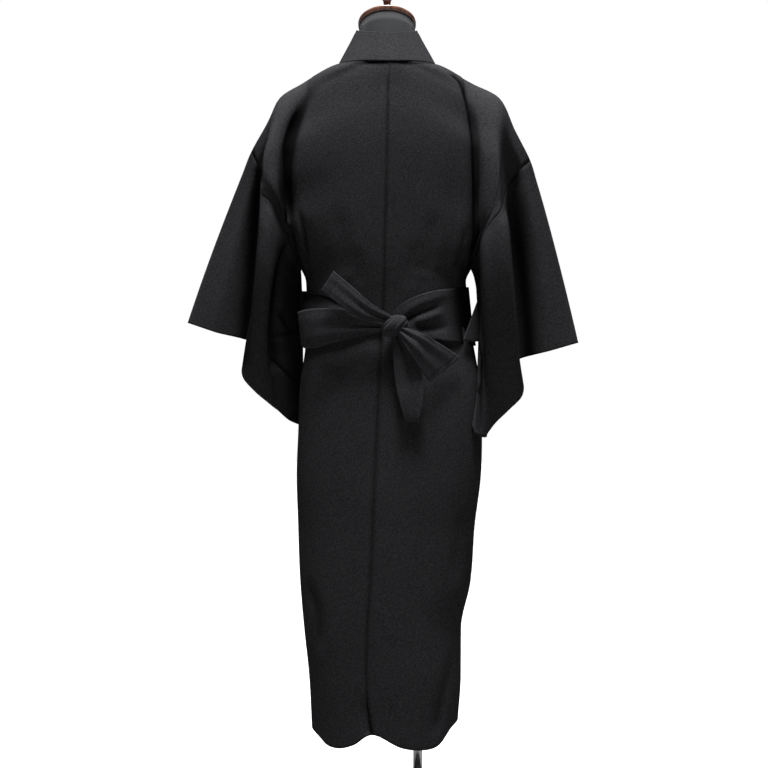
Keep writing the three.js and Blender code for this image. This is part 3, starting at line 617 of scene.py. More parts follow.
LINES = len(LEFT_LINES) + 2
BACK_ARMPIT = len(LOWER_HEIGHTS)
SHOULDER = BACK_ARMPIT + LINES - 1
FRONT_ARMPIT = SHOULDER + LINES - 1
SPINE_ROWS = SHOULDER - len(NECKLINE) + 1
NETS = {side: body_net(side) for side in (1, -1)}
print("body net", NETS[1].shape)

# %% [markdown]
# The sleeves' nets come next, because each sheet needs to know how its neighbour goes on.
# A sleeve is a tube: round it from the front of the armpit, over the pressed fold on top,
# to the back of the armpit; along it from the armhole to the cuff and the bottom seam.


# %% Sleeve nets
SLEEVE_ROWS = 8


def sleeve_net(side):
    lines = back_lines(side)
    around = front_lines(side)[1:-1][::-1] + lines
    rows = []
    for t in np.linspace(0, 1, SLEEVE_ROWS + 1):
        row = []
        for line in around:
            a, m, b = (np.array(line[n], float) for n in ("seam", "mid", "end"))
            row.append(2 * (t - 0.5) * (t - 1) * a + 4 * t * (1 - t) * m + 2 * t * (t - 0.5) * b)
        rows.append(row)
    return np.array(rows)


SLEEVES = {side: sleeve_net(side) for side in (1, -1)}


def guided_body(side):
    """The body net with a guide column past the spine and one past the outer edge."""
    net, other, sleeve = NETS[side], NETS[-side], SLEEVES[side]
    inner = 2 * net[:, 0] - net[:, 1]
    inner[:SPINE_ROWS + 1] = other[:SPINE_ROWS + 1, 1]
    outer = 2 * net[:, -1] - net[:, -2]
    for i in range(len(net)):
        if BACK_ARMPIT < i < FRONT_ARMPIT:
            outer[i] = sleeve[1, FRONT_ARMPIT - 1 - i]
        elif i < BACK_ARMPIT or i > FRONT_ARMPIT:
            outer[i] = net[len(net) - 1 - i, -2]
    return np.concatenate([inner[:, None], net, outer[:, None]], axis=1)


print("sleeve net", SLEEVES[1].shape)

# %% [markdown]
# ## Finishes
# The cloth is a black, matt, closely woven cotton blend. A weave has a height and a tone,
# so both come from one node group that each cloth uses at its own scale. A second group
# gives the slow differences in dye, a fine mottle and a little lint.


# %% Node helpers
def node(tree, kind, **settings):
    made = tree.nodes.new(kind)
    for key, value in settings.items():
        setattr(made, key, value)
    return made


def put(tree, socket, value):
    """Sets a socket to a value, or links it to the output given."""
    if isinstance(value, bpy.types.NodeSocket):
        tree.links.new(value, socket)
    else:
        socket.default_value = value


def math_node(tree, operation, *values):
    made = node(tree, "ShaderNodeMath", operation=operation)
    for socket, value in zip(made.inputs, values):
        put(tree, socket, value)
    return made.outputs[0]


def plus(tree, a, b):
    return math_node(tree, "ADD", a, b)


def times(tree, a, b):
    return math_node(tree, "MULTIPLY", a, b)


def noise(tree, place, scale, detail, **settings):
    made = node(tree, "ShaderNodeTexNoise", **settings)
    for name, value in (("Vector", place), ("Scale", scale), ("Detail", detail)):
        put(tree, made.inputs[name], value)
    return made


def simple_look(name, metallic=0.0, coat=0.0):
    look = bpy.data.materials.new(name)
    look.use_nodes = True
    shader = look.node_tree.nodes["Principled BSDF"]
    shader.inputs["Metallic"].default_value = metallic
    shader.inputs["Coat Weight"].default_value = coat
    return look, look.node_tree, shader


def ramp(tree, value, stops):
    colours = node(tree, "ShaderNodeValToRGB")
    for element, (position, colour) in zip(colours.color_ramp.elements, stops):
        element.position = position
        element.color = (*colour, 1)
    tree.links.new(value, colours.inputs[0])
    return colours.outputs[0]


def spread_roughness(tree, value, low, high, shader):
    spread = node(tree, "ShaderNodeMapRange")
    for name, number in (("To Min", low), ("To Max", high), ("Value", value)):
        put(tree, spread.inputs[name], number)
    tree.links.new(spread.outputs[0], shader.inputs["Roughness"])


def add_bump(tree, value, distance, shader, strength=1.0):
    bump = node(tree, "ShaderNodeBump")
    for name, number in (("Strength", strength), ("Distance", distance * MM), ("Height", value)):
        put(tree, bump.inputs[name], number)
    tree.links.new(bump.outputs[0], shader.inputs["Normal"])


def new_group(name, inputs, outputs):
    group = bpy.data.node_groups.new(name, "ShaderNodeTree")
    for label, kind, value in inputs:
        socket = group.interface.new_socket(name=label, in_out="INPUT", socket_type=kind)
        if value is not None:
            socket.default_value = value
    for label, kind in outputs:
        group.interface.new_socket(name=label, in_out="OUTPUT", socket_type=kind)
    return group, node(group, "NodeGroupInput"), node(group, "NodeGroupOutput")


print("node helpers ready")


# %% Woven twill
def make_twill():
    group, given, out = new_group("woven twill", [
        ("Cloth", "NodeSocketVector", None), ("Yarn Size", "NodeSocketFloat", 1.1),
        ("Slub", "NodeSocketFloat", 0.35)], [("Height", "NodeSocketFloat"), ("Tone", "NodeSocketFloat")])
    spread = node(group, "ShaderNodeVectorMath", operation="SCALE")
    put(group, spread.inputs[0], given.outputs["Cloth"])
    put(group, spread.inputs["Scale"], math_node(group, "DIVIDE", 1000.0, given.outputs["Yarn Size"]))
    parts = node(group, "ShaderNodeSeparateXYZ")
    put(group, parts.inputs[0], spread.outputs[0])
    across, along = parts.outputs[0], parts.outputs[1]
    rib = math_node(group, "SINE", times(group, plus(group, across, along), math.pi))
    yarn = math_node(group, "SINE", times(group, across, 2 * math.pi))
    slubs = noise(group, spread.outputs[0], 0.9, 4.0, noise_dimensions="2D")
    uneven = times(group, math_node(group, "SUBTRACT", slubs.outputs[0], 0.5), given.outputs["Slub"])
    weave = plus(group, times(group, rib, 0.32), times(group, yarn, 0.14))
    height = plus(group, plus(group, weave, 0.5), times(group, uneven, 2.0))
    put(group, out.inputs["Height"], height)
    put(group, out.inputs["Tone"], plus(group, height, uneven))
    return group


TWILL = make_twill()


def make_dye():
    group, given, out = new_group("dye and dust", [
        ("Place", "NodeSocketVector", None), ("Patch Size", "NodeSocketFloat", 5.0)],
        [("Patch", "NodeSocketFloat"), ("Mottle", "NodeSocketFloat"), ("Lint", "NodeSocketFloat")])
    place = given.outputs["Place"]
    slow = noise(group, place, given.outputs["Patch Size"], 5.0)
    mottle = noise(group, place, 330.0, 3.0)
    lint = noise(group, place, 420.0, 2.0)
    specks = math_node(group, "MAXIMUM", math_node(group, "SUBTRACT", lint.outputs[0], 0.66), 0.0)
    put(group, out.inputs["Patch"], slow.outputs[0])
    put(group, out.inputs["Mottle"], mottle.outputs[0])
    put(group, out.inputs["Lint"], times(group, specks, 5.0))
    return group


DYE = make_dye()
print("groups", TWILL.name, DYE.name)

# %% [markdown]
# The cloth's colour is a dark, slightly cool black, which the weave's tone and the dye's
# patches move a little; painted shade darkens it further in creases and along seams. It has
# no gloss at all, because gloss isn't darkened with the painted shade and would wash the
# folds out. Real cloth has a little of it.


# %% Cloth material
# How much the painted shade darkens the colour where it is strongest.
PAINTED_SHADE_STRENGTH = 0.9
MOTTLE_RELIEF = 2.4


def cloth_material(name, dark, light, yarn_mm, slub, relief):
    look, tree, shader = simple_look(name)
    place = node(tree, "ShaderNodeTexCoord")
    weave = node(tree, "ShaderNodeGroup", node_tree=TWILL)
    dye = node(tree, "ShaderNodeGroup", node_tree=DYE)
    put(tree, weave.inputs["Yarn Size"], yarn_mm)
    put(tree, weave.inputs["Slub"], slub)
    put(tree, weave.inputs["Cloth"], place.outputs["UV"])
    put(tree, dye.inputs["Place"], place.outputs["Object"])
    mixed = plus(tree, times(tree, weave.outputs["Tone"], 0.3), times(tree, dye.outputs["Patch"], 0.25))
    mixed = plus(tree, mixed, times(tree, dye.outputs["Mottle"], 0.8))
    mixed = plus(tree, mixed, times(tree, dye.outputs["Lint"], 0.5))
    # Painted shade: the number kept on the sheet darkens the base colour.
    painted_shade = node(tree, "ShaderNodeAttribute", attribute_name="painted_shade")
    lit = math_node(tree, "SUBTRACT", 1.0, times(tree, painted_shade.outputs["Fac"], PAINTED_SHADE_STRENGTH))
    shaded = node(tree, "ShaderNodeVectorMath", operation="SCALE")
    put(tree, shaded.inputs[0], ramp(tree, mixed, [(0.4, dark), (0.95, light)]))
    put(tree, shaded.inputs["Scale"], lit)
    put(tree, shader.inputs["Base Color"], shaded.outputs[0])
    spread_roughness(tree, weave.outputs["Height"], 0.78, 0.92, shader)
    mottle = times(tree, dye.outputs["Mottle"], MOTTLE_RELIEF)
    add_bump(tree, plus(tree, weave.outputs["Height"], mottle), relief, shader)
    put(tree, shader.inputs["Specular IOR Level"], 0.0)
    return look


BLACK_CLOTH = cloth_material("black_yukata_cloth", (0.0156, 0.0156, 0.0172), (0.0520, 0.0520, 0.0556),
                             1.1, 0.6, 0.22)
BELT_CLOTH = cloth_material("black_belt_cloth", (0.0170, 0.0170, 0.0190), (0.0550, 0.0550, 0.0588),
                            0.9, 0.4, 0.18)
print("cloth materials", BLACK_CLOTH.name, BELT_CLOTH.name)

# %% [markdown]
# ## Making the body panels
# The fine sheet is drawn through the guided net, then seams and creases are pressed in.

# %% Body panels
# Troughs have a negative depth. "edge" is +1 or -1 for the side of the path that drops.
# A "line" is shade painted along a crease, as strong as its value; "thick" is that line's width.
BODY_CREASES = {
    1: [
        # Painted shade fills this deep valley beside the shoulder blade.
        dict(path=[[124, 60, 1458], [142, 60, 1433], [159, 60, 1413], [172, 60, 1384], [184, 60, 1345],
                   [191, 60, 1307], [195, 60, 1250], [190, 60, 1182], [188, 60, 1144]], deep=-8, wide=14,
             line=0.95, thick=13, fade=(0.3, 0.25)),
        dict(path=[[193, 60, 1290], [196, 60, 1240], [191, 60, 1182], [188, 60, 1130]],
             deep=-3, wide=5,
             line=0.7, fade=(0.4, 0.2)),
        dict(path=[[171, 90, 1217], [156, 90, 1141], [147, 90, 1084]], deep=-5, wide=5, line=0.8),
        dict(path=[[187, 80, 1176], [174, 80, 1123], [159, 80, 1069]], deep=-6, wide=5, line=0.8),
        dict(path=[[179, 85, 1200], [165, 85, 1130], [153, 90, 1076]], deep=3.5, wide=6),
        dict(path=[[154, 100, 1187], [141, 100, 1121], [131, 100, 1074]], deep=-3, wide=7),
        dict(path=[[98, 105, 1215], [84, 105, 1130], [78, 105, 1062]], deep=-2.4, wide=14),
        dict(path=[[60, 105, 1130], [56, 105, 1085], [50, 105, 1050]], deep=-2, wide=9),
        dict(path=[[44, 110, 290], [29, 110, 205]], deep=-5, wide=12, fade=(0.7, 0.05)),
        dict(path=[[158, 60, 505], [132, 90, 415], [130, 90, 345]],
             deep=-5, wide=11, line=0.3, thick=7),
        # Painted shadow under the collar's lower edge.
        dict(path=[[88, 10, 1484], [80, 46, 1482], [46, 77, 1479], [-3, 88, 1477]],
             deep=-1.5, wide=4,
             line=1.0, thick=4.5, fade=(0.02, 0.02), faces=[0, 0.5, 0.8]),
        dict(path=[[107, -90, 840], [100, -90, 700], [92, -90, 560]],
             deep=-5, wide=16, faces=[0, -1, 0]),
        dict(path=[[150, -70, 1180], [128, -90, 1110], [110, -95, 1050]],
             deep=-5, wide=8, faces=[0, -1, 0]),
    ],
    -1: [
        dict(path=[[-118, 60, 1466], [-137, 60, 1453], [-150, 60, 1417], [-161, 60, 1361], [-166, 60, 1274],
                   [-168, 60, 1201], [-169, 60, 1153], [-148, 60, 1082], [-134, 60, 1067]],
             deep=-5, wide=30, edge=1, fade=(0.45, 0.15)),
        # Painted shade along the edge of the fold.
        dict(path=[[-118, 60, 1467], [-137, 60, 1453], [-151, 60, 1417], [-162, 60, 1361], [-167, 60, 1274],
                   [-169, 60, 1201], [-169, 60, 1153], [-149, 60, 1082], [-135, 60, 1067]],
             deep=-3, wide=4.5, line=1.0, thick=4.4, fade=(0.03, 0.15)),
        dict(path=[[-150, 95, 1170], [-140, 95, 1120], [-120, 95, 1070]],
             deep=-3, wide=7, line=0.4),
        dict(path=[[-88, 105, 1200], [-78, 105, 1120], [-70, 105, 1062]], deep=-2.4, wide=14),
        dict(path=[[-52, 105, 1140], [-46, 105, 1090], [-38, 105, 1045]], deep=-2, wide=9),
        dict(path=[[-128, 90, 375], [-112, 100, 295], [-97, 100, 235], [-88, 100, 190]],
             deep=-5, wide=11,
             line=0.3, thick=7, fade=(0.4, 0.2)),
        # Painted shadow under the collar's lower edge.
        dict(path=[[-3, 88, 1477], [-52, 77, 1479], [-86, 46, 1482], [-94, 10, 1484]],
             deep=-1.5, wide=4,
             line=1.0, thick=4.5, fade=(0.02, 0.02), faces=[0, 0.5, 0.8]),
        dict(path=[[-150, 60, 640], [-138, 90, 560], [-128, 90, 470]], deep=-3, wide=14),
        dict(path=[[-118, -90, 930], [-100, -90, 740], [-90, -90, 500]],
             deep=-5, wide=15, faces=[0, -1, 0]),
        dict(path=[[-148, -70, 1180], [-126, -90, 1105], [-106, -95, 1045]],
             deep=-5, wide=8, faces=[0, -1, 0]),
    ],
}
SLEEVE_CREASES = {
    1: [
        dict(path=[[191, 80, 1150], [204, 80, 1113], [216, 80, 1056], [223, 80, 989], [226, 70, 919],
                   [223, 60, 880]], deep=-7, wide=60, edge=1, line=1.0, thick=4.5, fade=(0.1, 0.2)),
        dict(path=[[228, 40, 952], [201, 40, 962], [172, 40, 975]],
             deep=-6, wide=14, edge=1, line=0.9,
             fade=(0.05, 0.05)),
        dict(path=[[224, 20, 920], [193, 20, 885], [164, 20, 851]],
             deep=-4, wide=5, line=0.8, fade=(0.1, 0.1)),
        dict(path=[[206, 40, 1010], [196, 40, 985], [182, 40, 965]], deep=-5, wide=6, line=0.8),
        dict(path=[[220, 40, 960], [214, 40, 925], [224, 40, 890]],
             deep=-4, wide=8, line=0.6, thick=9),
        # A wide band of painted shade beside the sleeve's ridge.
        dict(path=[[240, -10, 1360], [251, -14, 1251], [262, -20, 1132], [273, -26, 1013],
                   [286, -26, 900]],
             deep=-6, wide=16, line=1.0, thick=17, fade=(0.3, 0.02)),
        dict(path=[[212, -40, 1060], [222, -60, 960], [214, -50, 870]],
             deep=-6, wide=14, faces=[0, -1, 0]),
    ],
    -1: [
        dict(path=[[-175, 60, 1150], [-176, 60, 1082], [-176, 60, 1009], [-178, 60, 948], [-183, 60, 913],
                   [-182, 60, 842], [-180, 60, 779]], deep=-12, wide=60, edge=-1, fade=(0.1, 0.02)),
        dict(path=[[-178, 60, 948], [-183, 60, 913], [-181, 60, 842], [-177, 60, 772]],
             deep=-2, wide=5,
             line=0.9, thick=3.2, fade=(0.2, 0.02)),
        dict(path=[[-180, 60, 1132], [-198, 60, 1109], [-203, 60, 1076]], deep=-4, wide=7),
        dict(path=[[-192, 60, 1142], [-208, 70, 1122], [-214, 80, 1090]], deep=2.5, wide=7),
        # A wide band of painted shade beside the sleeve's ridge.
        dict(path=[[-230, -10, 1330], [-249, -16, 1211], [-264, -26, 1092], [-275, -26, 974],
                   [-282, -26, 860]],
             deep=-6, wide=18, line=1.0, thick=19, fade=(0.45, 0.02)),
        dict(path=[[-206, -40, 1040], [-214, -50, 940], [-208, -40, 850]],
             deep=-6, wide=14, faces=[0, -1, 0]),
    ],
}


def edge_distance(grid, column):
    """How far each point of a sheet lies from the seam at one of its side columns."""
    steps = np.linalg.norm(np.diff(grid, axis=1), axis=2)
    run = np.concatenate([np.zeros((len(grid), 1)), np.cumsum(steps, axis=1)], axis=1)
    return run if column == 0 else run[:, -1:] - run


def finish_piece(piece, look, node_name, thickness=CLOTH):
    if thickness:
        thicken(piece, thickness)
    piece.data.materials.append(look)
    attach(piece, "root")
    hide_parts(node_name)
    return piece


FOLD_STEPS = [6.5, 6.5, 6.5, 3.2, 2.8, 2.8, 4.0, 4.5, 5.0]      # finest beside the shoulder blade
ARMHOLES = {}                # each body panel's edge, for its sleeve to meet


def make_body(side, name):
    fine = refine(guided_body(side), FOLD_STEPS, 1, (1, 1))
    fine = refine(fine, STEP, 0)
    normals = sheet_normals(fine) * -side
    spine, outer = edge_distance(fine, 0), edge_distance(fine, -1)
    shift, painted_shade = press_creases(fine, normals, BODY_CREASES[side])
    shift = shift * ease(outer, 0, 22) + drape_waves(fine) + seam_groove(spine) + seam_groove(outer, 0.2)
    # Painted shade: a thin dark line along the panel's inner and outer edges, where the seams lie in shade.
    painted_shade = np.maximum(painted_shade, 0.3 * np.exp(-((spine / 1.5) ** 2)) + 0.25 * np.exp(-((outer / 1.5) ** 2)))
    fine = fine + normals * shift[..., None]
    ARMHOLES[side] = fine[:, -1]
    return build_sheet(name, fine, painted_shade=painted_shade)


body_left = finish_piece(make_body(1, "left_body_panel"), BLACK_CLOTH, "body_left")
body_right = finish_piece(make_body(-1, "right_body_panel"), BLACK_CLOTH, "body_right")
print("body panel points", len(body_left.data.vertices))

# %% [markdown]
# ## The sleeves


# %% Sleeves
def nearest_on(line, points):
    """The nearest points of a line of points."""
    start, step = line[:-1], np.diff(line, axis=0)
    t = ((points[:, None] - start) * step).sum(axis=2) / np.maximum((step * step).sum(axis=1), 1e-9)
    found = start + np.clip(t, 0, 1)[..., None] * step
    best = np.linalg.norm(found - points[:, None], axis=2).argmin(axis=1)
    return found[np.arange(len(points)), best]


def make_sleeve(side, name):
    net, body = SLEEVES[side], NETS[side]
    count = net.shape[1]
    guide = np.array([body[FRONT_ARMPIT - 1 - j, -2] for j in range(count)])
    net = np.concatenate([guide[None], net], axis=0)
    wrapped = np.concatenate([net[:, -2:], net, net[:, :3]], axis=1)
    fine = refine(wrapped, STEP, 1, (2, 2))[:, :-1]
    fine = refine(fine, STEP, 0, (1, 0))
    normals = sheet_normals(fine, True) * -side
    top = np.cumsum(np.linalg.norm(np.diff(fine, axis=0), axis=2), axis=0)
    run = np.concatenate([np.zeros((1, fine.shape[1])), top])
    shift, painted_shade = press_creases(fine, normals, SLEEVE_CREASES[side])
    shift = shift * ease(run, 0, 22) + drape_waves(fine) + seam_groove(run, 0.2)
    # Painted shade: a thin dark line along the armhole seam.
    painted_shade = np.maximum(painted_shade, 0.25 * np.exp(-((run / 1.5) ** 2)))
    fine = fine + normals * shift[..., None]
    off = nearest_on(ARMHOLES[side], fine[0]) - fine[0]
    fine = fine + off[None] * (1 - ease(run, 0, 45))[..., None]
    return build_sheet(name, fine, closed=True, painted_shade=painted_shade)


sleeve_left = finish_piece(make_sleeve(1, "left_sleeve"), BLACK_CLOTH, "sleeve_left")
sleeve_right = finish_piece(make_sleeve(-1, "right_sleeve"), BLACK_CLOTH, "sleeve_right")
print("sleeve points", len(sleeve_left.data.vertices))

# %% [markdown]
# ## The open side's corner
# Below the armpit the side is left open, and a corner of the front shows there beside the
# sleeve, held down by the belt. It is the same cloth as the body panel.


# %% Corner at the open side
def make_corner():
    top, inner, outer = (np.array(p, float) for p in ([-176, 28, 1030], [-145, 75, 951], [-181, 30, 950]))
    rows = []
    for t in np.linspace(0.06, 1, 24):
        start, end = top + (inner - top) * t, top + (outer - top) * t
        rows.append([start + (end - start) * u
                     + [0, 3 * math.sin(math.pi * u) * t, -2 * math.sin(math.pi * u) * t]
                     for u in np.linspace(0, 1, 12)])
    return build_sheet("open_side_corner", np.array(rows))


corner = finish_piece(make_corner(), BLACK_CLOTH, "body_right")
print("corner points", len(corner.data.vertices))

# %% [markdown]
# ## The overlap panels
# A half width of cloth is added to each front, from a pointed tip beside the collar down
# to the hem. Its long seam joins the body panel; above, its slanted side takes the collar
# and below the collar's end it has a free edge.

# %% Overlap panels
OVERLAP_EDGE = table(["z", "x"], [
    [777, -116], [690, -122], [590, -124], [480, -120], [390, -116], [300, -112], [170, -108],
])
OVERLAP_PARTS = [0, 0.25, 0.5, 0.75, 1]


def overlap_net(side):
    def across(start, end):
        row = []
        for part in OVERLAP_PARTS:
            x, z = start[0] + (end[0] - start[0]) * part, start[2] + (end[2] - start[2]) * part
            row.append(on_front(side, x, z, 0))
        return row

    rows = [across(front_inner(side, k), collar_at(FRONT_EDGE[k], side)[0])
            for k in range(TIP_LINE + 1, len(FRONT_EDGE))]
    for edge in OVERLAP_EDGE:
        row = across([side * OVERLAP_SEAM_X, 0, edge["z"]], [side * edge["x"], 0, edge["z"]])
        if edge["z"] == HEM_ROW:
            for point in row:
                point[2] = hem_height(point[0], point[1])
        rows.append(row)
    tip = front_inner(side, TIP_LINE)
    rows.insert(0, [tip + (point - tip) * 0.06 for point in rows[0]])
    return np.array(rows)


OVERLAPS = {side: overlap_net(side) for side in (1, -1)}


def make_overlap(side, name):
    net = OVERLAPS[side]
    beside = NETS[side][SHOULDER + TIP_LINE:, 1]
    guide = np.concatenate([[net[0, 0] + (beside[0] - net[0, 0]) * 0.1], beside[1:]])
    net = np.concatenate([guide[:, None], net], axis=1)
    fine = refine(refine(net, STEP, 1, (1, 0)), STEP, 0)
    normals = sheet_normals(fine) * side
    shift, painted_shade = press_creases(fine, normals, BODY_CREASES[side])
    shift += drape_waves(fine) + seam_groove(edge_distance(fine, 0))
    return build_sheet(name, fine + normals * shift[..., None], painted_shade=painted_shade)


overlap_left = finish_piece(make_overlap(1, "left_overlap_panel"), BLACK_CLOTH, "okumi_left")
overlap_right = finish_piece(make_overlap(-1, "right_overlap_panel"), BLACK_CLOTH, "okumi_right")
print("overlap points", len(overlap_left.data.vertices))

# %% [markdown]
# ## The collar
# The collar is one straight band for the whole neckline. It stands up behind the neck,
# turns over the shoulders and crosses left over right in front. It is folded of several
# layers, so it is thicker than the panels and laps over their cut edge.

# %% Collar
COLLAR_STOPS = [*NECKLINE[:0:-1], *FRONT_EDGE]
COLLAR_CLOTH = 2.4
COLLAR_LAP = 3.0


def collar_rows(side):
    rows = []
    for count in COLLAR_STOPS:
        seam, free = collar_at(count, side)
        middle = (seam + free) / 2
        if count >= COLLAR_ON_FRONT:
            middle[1] = on_front(side, middle[0], middle[2], COLLAR_LIFT - 1)[1]
        lap = seam + (seam - middle) * COLLAR_LAP / np.linalg.norm(seam - middle)
        rows.append([lap, middle, free])
    return rows


def make_collar():
    left, right = collar_rows(1), collar_rows(-1)
    net = np.array(right[:0:-1] + [[(a + b) / 2 for a, b in zip(left[0], right[0])]] + left[1:])
    fine = refine(refine(net, STEP / 2, 1), STEP, 0)
    normals = sheet_normals(fine)
    outward = np.sign((normals * (fine - [0, 0, 1400])).sum(axis=2).mean())
    lift = 1.6 * ease(1 - edge_distance(fine, 0) / 60, 0.0, 1.0) + 0.6
    shift = (lift + drape_waves(fine) + cloth_waves(fine, 200, 0.4, 5)
             - 0.7 * np.exp(-((edge_distance(fine, -1) - 4) / 1.6) ** 2))
    return build_sheet("collar", fine + normals * outward * shift[..., None])


collar = finish_piece(make_collar(), BLACK_CLOTH, "collar_left", COLLAR_CLOTH)
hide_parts("collar_left", "collar_right")
print("collar points", len(collar.data.vertices))

# %% [markdown]
# ## The belt round the waist
# The belt is a soft, flat band. It lies highest at the sides, is drawn together behind by
# the knot, and rides on the collar in front.

# %% Belt band
BAND = table(["turn", "top", "bottom", "grow"], [
    [-2, 1002, 967, 5], [-9, 1022, 966, 5], [-17, 1034, 958, 5], [-30, 1044, 950, 5],
    [-50, 1050, 946, 5], [-70, 1054, 943, 5], [-90, 1056, 942, 5], [-110, 1054, 944, 6],
    [-130, 1050, 946, 10], [-150, 1046, 947, 10], [-170, 1043, 948, 9], [-190, 1042, 948, 8],
    [-210, 1043, 948, 7], [-230, 1044, 947, 6], [-250, 1046, 946, 7], [-270, 1048, 946, 10],
    [-290, 1046, 945, 7], [-310, 1040, 946, 5], [-330, 1024, 950, 5], [-343, 1012, 957, 5],
    [-351, 1000, 965, 5], [-358, 998, 967, 5],
])
# Here too a "line" is shade painted along the crease.
BAND_CREASES = [
    dict(path=[[-30, 118, 984], [-52, 116, 996], [-77, 112, 1006], [-106, 104, 1019]],
         deep=-5, wide=6,
         line=0.8, fade=(0.05, 0.3)),
    dict(path=[[-50, 116, 982], [-84, 110, 996], [-116, 100, 1006]],
         deep=5, wide=9, fade=(0.2, 0.4)),
    dict(path=[[-22, 118, 992], [-50, 116, 1014], [-96, 108, 1032], [-130, 90, 1042]],
         deep=3, wide=8),
    dict(path=[[-44, 116, 972], [-84, 110, 972], [-124, 96, 980]], deep=-4, wide=8, line=0.4),
    # A wide band of painted shade where the band turns away at its side.
    dict(path=[[-147, 76, 1070], [-150, 72, 1000], [-156, 68, 925]],
         deep=-5, wide=16, line=1.0, thick=27,
         fade=(0.02, 0.02)),
    # Painted shade over the band's left part beside the loop.
    dict(path=[[168, 50, 1036], [124, 95, 1034], [80, 108, 1028]],
         deep=-2, wide=12, line=0.9, thick=15,
         fade=(0.05, 0.3)),
    dict(path=[[152, 80, 1046], [118, 100, 1030], [60, 114, 1008]],
         deep=-5, wide=7, line=0.8, fade=(0.1, 0.3)),
    dict(path=[[150, 80, 1022], [104, 104, 1018], [56, 114, 1002]],
         deep=-3, wide=6, line=0.5, fade=(0.1, 0.3)),
    dict(path=[[140, -80, 1030], [60, -112, 1000], [-20, -114, 990]],
         deep=-2, wide=8, faces=[0, -1, 0]),
]


def make_band():
    net = np.array([[section_point(row["bottom"] + (row["top"] - row["bottom"]) * part,
                                   row["turn"], row["grow"])
                     for part in (0, 0.33, 0.67, 1)] for row in BAND])
    fine = refine(refine(net, 3, 1), 5, 0)
    normals = sheet_normals(fine)
    outward = np.sign((normals * (fine - [0, 0, 1000])).sum(axis=2).mean())
    normals = normals * outward
    shift, painted_shade = press_creases(fine, normals, BAND_CREASES)
    shift += cloth_waves(fine, 90, 1.2, 8)
    return build_sheet("belt_round_waist", fine + normals * shift[..., None], painted_shade=painted_shade)


belt_band = finish_piece(make_band(), BELT_CLOTH, "belt_band")
print("belt band points", len(belt_band.data.vertices))

# %% [markdown]
# ## The tied bow
# Each tied piece is the belt again, given by its upper and lower edge from the knot
# outwards. A loop is a strip that turns and comes back to the knot behind itself. Pleats
# start at the knot, where the cloth is gathered, and open out along the strip.

# %% Bow pieces
EDGES = ["upper", "lower"]
BOW_END_UPPER = table(EDGES, [
    [[-12, 131, 992], [-4, 131, 980]], [[30, 143, 1018], [45, 142, 988]],
    [[64, 140, 1048], [84, 139, 1011]], [[100, 131, 1079], [124, 128, 1043]],
])
BOW_END_LOWER = table(EDGES, [
    [[-28, 136, 974], [-20, 136, 960]], [[-64, 136, 962], [-38, 143, 930]],
    [[-98, 119, 944], [-58, 138, 900]], [[-140, 88, 918], [-80, 128, 871]],
])
BOW_LOOP = table(EDGES, [
    [[2, 127, 982], [4, 127, 966]], [[48, 133, 998], [56, 133, 955]],
    [[92, 125, 1008], [98, 123, 945]], [[134, 106, 1010], [134, 104, 936]],
    [[162, 84, 1007], [156, 82, 935]], [[171, 72, 1004], [164, 68, 942]],
    [[158, 70, 1003], [152, 66, 946]], [[122, 97, 1000], [120, 96, 948]],
    [[86, 113, 996], [86, 113, 952]], [[48, 119, 990], [50, 119, 958]],
    [[4, 121, 982], [6, 121, 970]],
])
BOW_LOOP_HANGING = table(EDGES, [
    [[-8, 130, 966], [-20, 130, 966]], [[-11, 131, 920], [-52, 130, 918]],
    [[-14, 133, 880], [-66, 131, 880]], [[-22, 136, 836], [-68, 134, 836]],
    [[-32, 134, 802], [-61, 133, 802]], [[-34, 129, 797], [-60, 128, 797]],
    [[-32, 125, 802], [-61, 124, 802]], [[-24, 125, 836], [-66, 123, 836]],
    [[-16, 124, 880], [-64, 122, 880]], [[-13, 121, 920], [-50, 119, 918]],
    [[-10, 120, 962], [-20, 120, 962]],
])


def ribbon(name, rows, node_name, fullness, pleats, hems=(), reach=90.0):
    """A strip between two edges. pleats is a list of (place across, depth, width)."""
    net = []
    for row in rows:
        upper, lower = np.array(row["upper"], float), np.array(row["lower"], float)
        net.append([upper + (lower - upper) * part + [0, fullness * math.sin(math.pi * part), 0]
                    for part in (0, 0.33, 0.67, 1)])
    fine = refine(np.array(net), 2.4, 1)
    fine = refine(fine, 3.2, 0)
    normals = sheet_normals(fine)
    if normals[len(fine) // 6, :, 1].mean() < 0:
        normals = -normals
    count = len(fine)
    run = np.concatenate([[0], np.cumsum(np.linalg.norm(
        np.diff(fine[:, fine.shape[1] // 2], axis=0), axis=1))])
    part = np.linspace(0, 1, fine.shape[1])
    fade = np.exp(-((run / reach) ** 1.5))
    if len(rows) > 6:
        fade = np.maximum(fade, np.exp(-(((run[-1] - run) / reach) ** 1.5)))
    shift = np.zeros(fine.shape[:2])
    for place, depth, width in pleats:
        shift += depth * np.exp(-(((part - place) / width) ** 2))[None] * fade[:, None]
    for edge in (0, -1):
        shift -= 0.5 * np.exp(-((edge_distance(fine, edge) - 5) / 1.3) ** 2)
    for back in hems:
        shift -= 0.8 * np.exp(-(((run[-1] - run) - back) / 1.6) ** 2)[:, None]
    shift += cloth_waves(fine, 70, 1.0, count)
    piece = build_sheet(name, fine + normals * shift[..., None])
    return finish_piece(piece, BELT_CLOTH, node_name)


